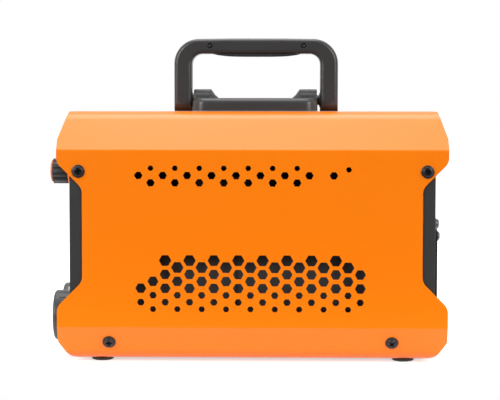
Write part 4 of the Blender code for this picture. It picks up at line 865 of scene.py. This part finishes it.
def makeScrews():
    look = screwPlaceLook
    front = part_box("front_panel")[0].x
    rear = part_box("rear_panel")[1].x
    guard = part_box("fan_guard")[1].x
    guards = facePlaces("guard_screw_", guard, 1, look["guardTwist"])
    panels = facePlaces("panel_screw_", front, -1, look["panelTwist"])
    earths = facePlaces("earth_bolt", rear, 1, look["earthTwist"])
    placeScrews("cover", blackZinc, "black_steel", "case", coverScrewPlaces())
    placeScrews("guard", dullZinc, "zinc_steel", "case", guards)
    placeScrews("panel", zincSteel, "zinc_steel", "case", panels)
    placeScrews("earth", dullZinc, "zinc_steel", "case", earths)
    placeScrews("grip", dullZinc, "black_steel", "handle", gripScrewPlaces())


makeScrews()
print("screws made")


# handle: the folding bail, its soft pad, and the block that carries it

bailLook = {
    "leg": 14.4 * mm,
    "thickness": 12.6 * mm,
    "rise": 49.9 * mm,
    "arch": 0.9 * mm,
    "outerRadius": 20 * mm,
    "innerRadius": 8.5 * mm,
    "rounding": 3.2 * mm,
    "heel": 0.25 * mm,
    "boss": 0.7 * mm,
    "bossRadius": 5.6 * mm,
    "screwWell": 2.15 * mm,
    "wellDepth": 5 * mm,
    "crownInset": 24 * mm,
    "endRound": 0.99,  # of half the depth
    "span": 200 * mm,  # of the cutter that rounds both leg ends
}
padLook = {"bulge": 2.2 * mm, "fullness": 4, "inlay": 3 * mm, "steps": 28, "rounding": 0.8 * mm}
blockLook = {
    "deck": 10.4 * mm,
    "corner": 10 * mm,
    "cornerSteps": 8,
    "rounding": 4.6 * mm,
    "roundSteps": 6,
    "barrel": 14 * mm,
    "taper": ((3.3 * mm, 0.46), (2.6 * mm, 0.45)),  # length and narrowing of each step
    "barrelRim": 0.6 * mm,
    "barrelInset": 0.3 * mm,
    "barrelSides": 48,
    "pinHole": 4.2 * mm,
    "pinHoleSpan": 24 * mm,
    "edgeSlack": 0.01 * mm,
}
alongX = (0, math.pi / 2, 0)
alongY = (math.pi / 2, 0, 0)
pivot = next(Vector(j["pos_m"]) for j in frame["joints"] if j["name"] == "handle_fold")


def makeBail():
    look = bailLook
    low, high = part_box("handle")
    depth = high.y - low.y
    outer = (high.x - low.x) / 2
    inner = outer - look["leg"]
    under = look["rise"] - look["thickness"]
    crown = (outer - look["crownInset"]) / 2  # the level middle's half length
    half = [
        (inner, -depth, 0),
        (outer, -depth, 0),
        (outer, look["rise"] - look["arch"], look["outerRadius"]),
        (crown, look["rise"] - look["arch"] / 4, 0),
    ]
    corners = half + [(-x, z, r) for x, z, r in reversed(half)]
    corners += [(-inner, under, look["innerRadius"]), (inner, under, look["innerRadius"])]
    points = [pivot + Vector((u, -depth / 2, v)) for u, v in roundedLine(corners)]
    bail = extrudeOutline("bail", points, (0, depth, 0))
    softenEdges(bail, look["rounding"], 5)
    side = depth / 2
    heel, bend = -side - look["heel"], side * look["endRound"]
    reach = look["span"] / 2
    ends = [(side, reach, 0), (-side, reach, 0), (-side, heel, bend), (side, heel, bend)]
    points = [pivot + Vector((-reach, u, v)) for u, v in roundedLine(ends)]
    combine(bail, extrudeOutline("bailEnds", points, (2 * reach, 0, 0)), operation="INTERSECT")
    for sign in (-1, 1):
        at = pivot + Vector((sign * inner, 0, 0))
        boss = startRod("boss", look["bossRadius"], 2 * look["boss"], at, alongX)
        combine(bail, boss, operation="UNION")
    for node in ("grip_screw_front", "grip_screw_rear"):
        at = middleOf(node)
        at.y = low.y
        combine(bail, startRod("well", look["screwWell"], look["wellDepth"], at, alongY))
    smooth(bail, 38, weighted=True)
    dress(bail, greyPlastic, "handle", "dark_grey_plastic", "handle")


def makePad():
    look = padLook
    low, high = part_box("grip_pad")
    half = (high.x - low.x) / 2
    middle = (low.x + high.x) / 2
    seat = low.z + look["bulge"]
    bow = []
    for i in range(look["steps"] + 1):
        u = 1 - 2 * i / look["steps"]
        bow.append((middle + u * half, low.y, seat - look["bulge"] * (1 - u ** look["fullness"])))
    top = seat + look["inlay"]
    bow += [(middle - half, low.y, top), (middle + half, low.y, top)]
    pad = extrudeOutline("pad", bow, (0, high.y - low.y, 0))
    softenEdges(pad, look["rounding"], 4, 50)
    smooth(pad, 50, weighted=True)
    dress(pad, rubber, "handle", "black_rubber", "grip_pad")


def makeBlock():
    look = blockLook
    low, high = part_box("handle_base")
    blockTop = low.z + look["deck"]
    block = startBlock("block", low, (high.x, high.y, blockTop))
    pickEdges(block, lambda a, b: abs(a.z - b.z) > mm)
    bpy.ops.mesh.bevel(offset=look["corner"], segments=look["cornerSteps"], affect="EDGES")
    deselectAll()
    top = blockTop - look["edgeSlack"]
    pickEdges(block, lambda a, b: a.z > top and b.z > top)
    bpy.ops.mesh.bevel(offset=look["rounding"], segments=look["roundSteps"], affect="EDGES")
    deselectAll()
    radius = high.z - pivot.z
    for sign, edge in ((-1, low.x), (1, high.x)):
        start = edge - sign * look["barrelInset"]
        inside = start - sign * look["barrel"]
        at = ((start + inside) / 2, 0, pivot.z)
        barrel = startRod("barrel", radius, look["barrel"], at, alongX, look["barrelSides"])
        pickFaces(barrel, lambda middle, normal: sign * normal.x < -0.9)
        tip = (inside, 0, pivot.z)
        for step, shrink in look["taper"]:
            bpy.ops.mesh.extrude_region_move(TRANSFORM_OT_translate={"value": (-sign * step, 0, 0)})
            bpy.ops.transform.resize(value=(1, shrink, shrink), center_override=tip)
        deselectAll()
        softenEdges(barrel, look["barrelRim"], 3, 25)
        combine(block, barrel, operation="UNION")
        hole = startRod("pinHole", look["pinHole"], look["pinHoleSpan"], (edge, 0, pivot.z), alongX)
        combine(block, hole)
    smooth(block)
    dress(block, greyPlastic, "case", "dark_grey_plastic", "handle_base")


makeBail()
makePad()
makeBlock()
print("handle made")


# front: knob, sockets, panel marks

knobLook = {
    "flutes": 9,
    "dip": 0.9 * mm,
    "capRadius": 8.9 * mm,
    "coreRadius": 8.3 * mm,
    "skirtRadius": 11 * mm,
    "skirt": 3.1 * mm,
    "dome": 2.1 * mm,
    "bore": 3.2 * mm,
    "boreDepth": 11 * mm,
    "rim": 0.5 * mm,
    "skirtEdge": (1.0 * mm, 0.9 * mm),  # inwards and down
    "domeFullness": 0.7,
    "pointer": (0.9 * mm, 5.2 * mm, 0.75 * mm),  # width, length, depth
    "pointerStart": 2 * mm,
    "clear": 0.25 * mm,
    "sides": 56,
    "fluteSteps": 10,
}


def frontPlace(point):
    # for a piece turned about Z, so that its top faces forwards
    return Matrix.Translation(point) @ Matrix.Rotation(-math.pi / 2, 4, "Y")


def makeKnobCore():
    look = knobLook
    low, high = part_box("knob_core")
    axis = (low + high) / 2
    reach = high.x - low.x
    shoulder = reach - look["dome"]
    cap = look["capRadius"]
    section = [(0, reach)]
    for out, up in quarterTurn(toolLook["quarter"], 1):
        section.append((cap * out, shoulder + look["dome"] * up ** look["domeFullness"]))
    inward, down = look["skirtEdge"]
    section += [
        (look["coreRadius"], shoulder),
        (look["coreRadius"], look["skirt"]),
        (look["skirtRadius"] - inward, look["skirt"]),
        (look["skirtRadius"], look["skirt"] - down),
        (look["skirtRadius"], 0),
        (look["bore"], 0),
        (look["bore"], look["boreDepth"]),
        (0, look["boreDepth"]),
    ]
    core = lathe("knobCore", section, look["sides"])
    wide, long, deep = look["pointer"]
    start = look["pointerStart"]
    groove = startBlock(
        "pointerGroove", (-wide / 2, start, reach - deep), (wide / 2, start + long, 2 * reach)
    )
    combine(core, groove)
    settle(core, frontPlace((high.x, axis.y, axis.z)))
    smooth(core, 32)
    dress(core, orangePlastic, "knob", "orange_plastic", "knob_core")


def makeKnobGrip():
    look = knobLook
    low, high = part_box("knob_grip")
    axis = middleOf("knob_core")
    radius = (high.z - low.z) / 2
    outline = []
    count = look["flutes"] * look["fluteSteps"]
    for i in range(count):
        angle = 2 * math.pi * i / count
        wave = math.cos(look["flutes"] * angle)
        dip = look["dip"] * (0.5 + 0.5 * wave) ** 2
        outline.append(((radius - dip) * math.cos(angle), (radius - dip) * math.sin(angle), 0))
    length = high.x - low.x
    grip = extrudeOutline("knobGrip", outline, (0, 0, length))
    softenEdges(grip, look["rim"], 3, 60)
    bore = look["coreRadius"] + look["clear"]
    combine(grip, startRod("gripBore", bore, 3 * length, (0, 0, 0), sides=look["sides"]))
    settle(grip, frontPlace((high.x, axis.y, axis.z)))
    smooth(grip, 40)
    dress(grip, blackPlastic, "knob", "black_plastic", "knob_grip")


socketLook = {
    "radius": 20.1 * mm,
    "rounding": 2.2 * mm,
    "mouth": 13 * mm,
    "mouthDepth": 6.6 * mm,
    "sleeve": 15 * mm,
    "bore": 10.5 * mm,
    "tail": 14 * mm,
    "standoff": 0.3 * mm,
    "lip": 0.6 * mm,
    "roundSteps": 6,
    "sides": 72,
    "grooves": 18,
    "grooveDepth": 0.5 * mm,
    "grooveRadius": 0.9 * mm,
    "grooveMiddle": 0.42,  # of the socket's reach, as is the length
    "grooveLength": 0.5,
    "keyWidth": 7 * mm,
    "keyReach": 15.8 * mm,
    "keyFloor": 1.2 * mm,
}


def makeSockets():
    look = socketLook
    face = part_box("front_panel")[0].x
    for pole in ("positive", "negative"):
        node = f"weld_socket_{pole}"
        low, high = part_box(node)
        reach = face - low.x
        seat = reach - look["mouthDepth"]
        mouth, lip, rounding = look["mouth"], look["lip"], look["rounding"]
        rim = [(mouth, reach - lip), (mouth + lip, reach)]
        for out, up in quarterTurn(look["roundSteps"]):
            rim.append((look["radius"] - rounding * (1 - out), reach - rounding * (1 - up)))
        section = rim + [
            (look["radius"], look["standoff"]),
            (look["sleeve"], look["standoff"]),
            (look["sleeve"], -look["tail"]),
            (look["bore"], -look["tail"]),
            (look["bore"], seat),
            (mouth, seat),
        ]
        socket = lathe("socket_" + pole, section, look["sides"], closed=True)
        cutters = []
        out = look["radius"] + look["grooveRadius"] - look["grooveDepth"]
        for k in range(look["grooves"]):
            angle = 2 * math.pi * k / look["grooves"]
            at = (out * math.cos(angle), out * math.sin(angle), reach * look["grooveMiddle"])
            length = reach * look["grooveLength"]
            cutters.append(startRod("grooveTool", look["grooveRadius"], length, at, sides=12))
        combine(socket, joinPieces("grooveTools", cutters))
        key = startBlock(
            "keyTool",
            (-look["keyWidth"] / 2, look["bore"], seat + look["keyFloor"]),
            (look["keyWidth"] / 2, look["keyReach"], reach + mm),
        )
        combine(socket, key)
        at = (low + high) / 2
        settle(socket, frontPlace((face, at.y, at.z)))
        smooth(socket, 32)
        dress(socket, socketPlastic, "case", "black_plastic", node)


markLook = {
    "height": 0.12 * mm,
    "inlay": 0.05 * mm,
    "ticks": 11,
    "tickFrom": 13.2 * mm,
    "tickLength": 2.6 * mm,
    "tickWidth": 0.8 * mm,
    "sweep": math.radians(270),
    "signSize": 6 * mm,
    "signWidth": 1.3 * mm,
    "signRise": 27 * mm,
}


def makeMarks():
    # dial ticks round the knob, and the poles of the sockets
    look = markLook
    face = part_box("front_panel")[0].x
    knob = middleOf("knob_core")
    parts = []

    def bar(y, z, wide, tall, turn):
        low, high = (-look["height"], -wide / 2, -tall / 2), (look["inlay"], wide / 2, tall / 2)
        piece = startBlock("bar", low, high)
        place = Matrix.Translation((face, y, z)) @ Matrix.Rotation(turn, 4, "X")
        parts.append(settle(piece, place))

    out = look["tickFrom"] + look["tickLength"] / 2
    for i in range(look["ticks"]):
        angle = look["sweep"] * (i / (look["ticks"] - 1) - 0.5)
        y, z = knob.y + out * math.sin(angle), knob.z + out * math.cos(angle)
        bar(y, z, look["tickWidth"], look["tickLength"], -angle)
    for pole in ("positive", "negative"):
        at = middleOf(f"weld_socket_{pole}")
        z = at.z + look["signRise"]
        bar(at.y, z, look["signSize"], look["signWidth"], 0)
        if pole == "positive":
            bar(at.y, z, look["signWidth"], look["signSize"], 0)
    marks = joinPieces("panelMarks", parts)
    dress(marks, paleInk, "case", "dark_grey_plastic")


makeKnobCore()
makeKnobGrip()
makeSockets()
makeMarks()
print("front made")


# feet, turned with a shallow dome

footLook = {
    # in mm
    "radius": 9.0,
    "tip": 6.2,
    "height": 2.6,
    "gap": 0.3,  # below the sheet
    "neck": 3.6,
    "point": 2.6,
    "barb": 4.8,
    "barbLength": 3,
}
domeLook = {"steps": 6, "fullness": 0.9, "sides": 40}


def makeFeet():
    size = {key: value * mm for key, value in footLook.items()}
    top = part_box("foot_front_left")[1].z
    seat = top - size["barbLength"]
    rim = size["height"] - size["gap"]
    section = [(0, 0), (size["tip"], 0)]
    for out, up in quarterTurn(domeLook["steps"], 1):
        radius = size["tip"] + (size["radius"] - size["tip"]) * out
        section.append((radius, rim * (1 - up) * domeLook["fullness"]))
    section += [
        (size["radius"], rim),
        (size["neck"], rim),
        (size["neck"], seat),
        (size["barb"], seat),
        (size["point"], top),
        (0, top),
    ]
    model = lathe("foot", section, domeLook["sides"])
    smooth(model)
    for node in sorted(nodes):
        if node.startswith("foot_"):
            at = middleOf(node)
            foot = copyPiece(model, node + "_dressed", Matrix.Translation((at.x, at.y, 0)))
            dress(foot, rubber, "case", "black_rubber", node)
    bpy.data.objects.remove(model)


makeFeet()
print("feet made")


# pieces whose CAD shape stays, with their edges eased

easedLook = (
    # node, piece, edge width in mm, body, slot, finish
    ("front_panel", "frontPanel", 0.7, "case", "dark_grey_plastic", greyPlastic),
    ("rear_panel", "rearPanel", 0.7, "case", "dark_grey_plastic", greyPlastic),
    ("display_window", "displayWindow", 0.3, "case", "smoked_window", smokedWindow),
    ("mode_button", "modeButton", 0.3, "button", "orange_plastic", orangePlastic),
    ("switch_housing", "switchHousing", 0.3, "case", "black_plastic", blackPlastic),
    ("power_rocker", "powerRocker", 0.35, "rocker", "black_plastic", blackPlastic),
    ("cable_gland", "cableGland", 0.35, "case", "black_plastic", blackPlastic),
    ("fan_guard", "fanGuard", 0.5, "case", "black_plastic", guardPlastic),
    ("base_tray", "baseTray", 0.2, "case", "black_sheet", blackSheet),
)


def easeEdges():
    for node, name, width, body, slot, finish in easedLook:
        dress(softCopy(node, name, width * mm), finish, body, slot, node)


easeEdges()
print("edges eased")


# inner pieces and small ones, by the start of their node's name

plainFinishes = {
    "fan_frame": blackPlastic,
    "fan_rotor": blackPlastic,
    "gland_nut": blackPlastic,
    "pivot_pin": blackZinc,
    "current_potentiometer": zincSteel,
    "socket_contact": brass,
    "busbar": copper,
    "transformer_winding": copper,
    "output_choke": copper,
    "transformer_core": ferrite,
    "diode_heatsink": blackAluminium,
    "switch_heatsink": blackAluminium,
    "bus_capacitor": blackPlastic,
    "power_board": circuitBoard,
    "control_board": circuitBoard,
    "display_board": circuitBoard,
    "power_lens": greenLens,
    "fault_lens": yellowLens,
}


def finishPlainNodes():
    for node, piece in nodes.items():
        for start, finish in plainFinishes.items():
            if node.startswith(start):
                piece.data.materials.clear()
                piece.data.materials.append(finish)
                smooth(piece)


finishPlainNodes()
print("CAD pieces dressed")
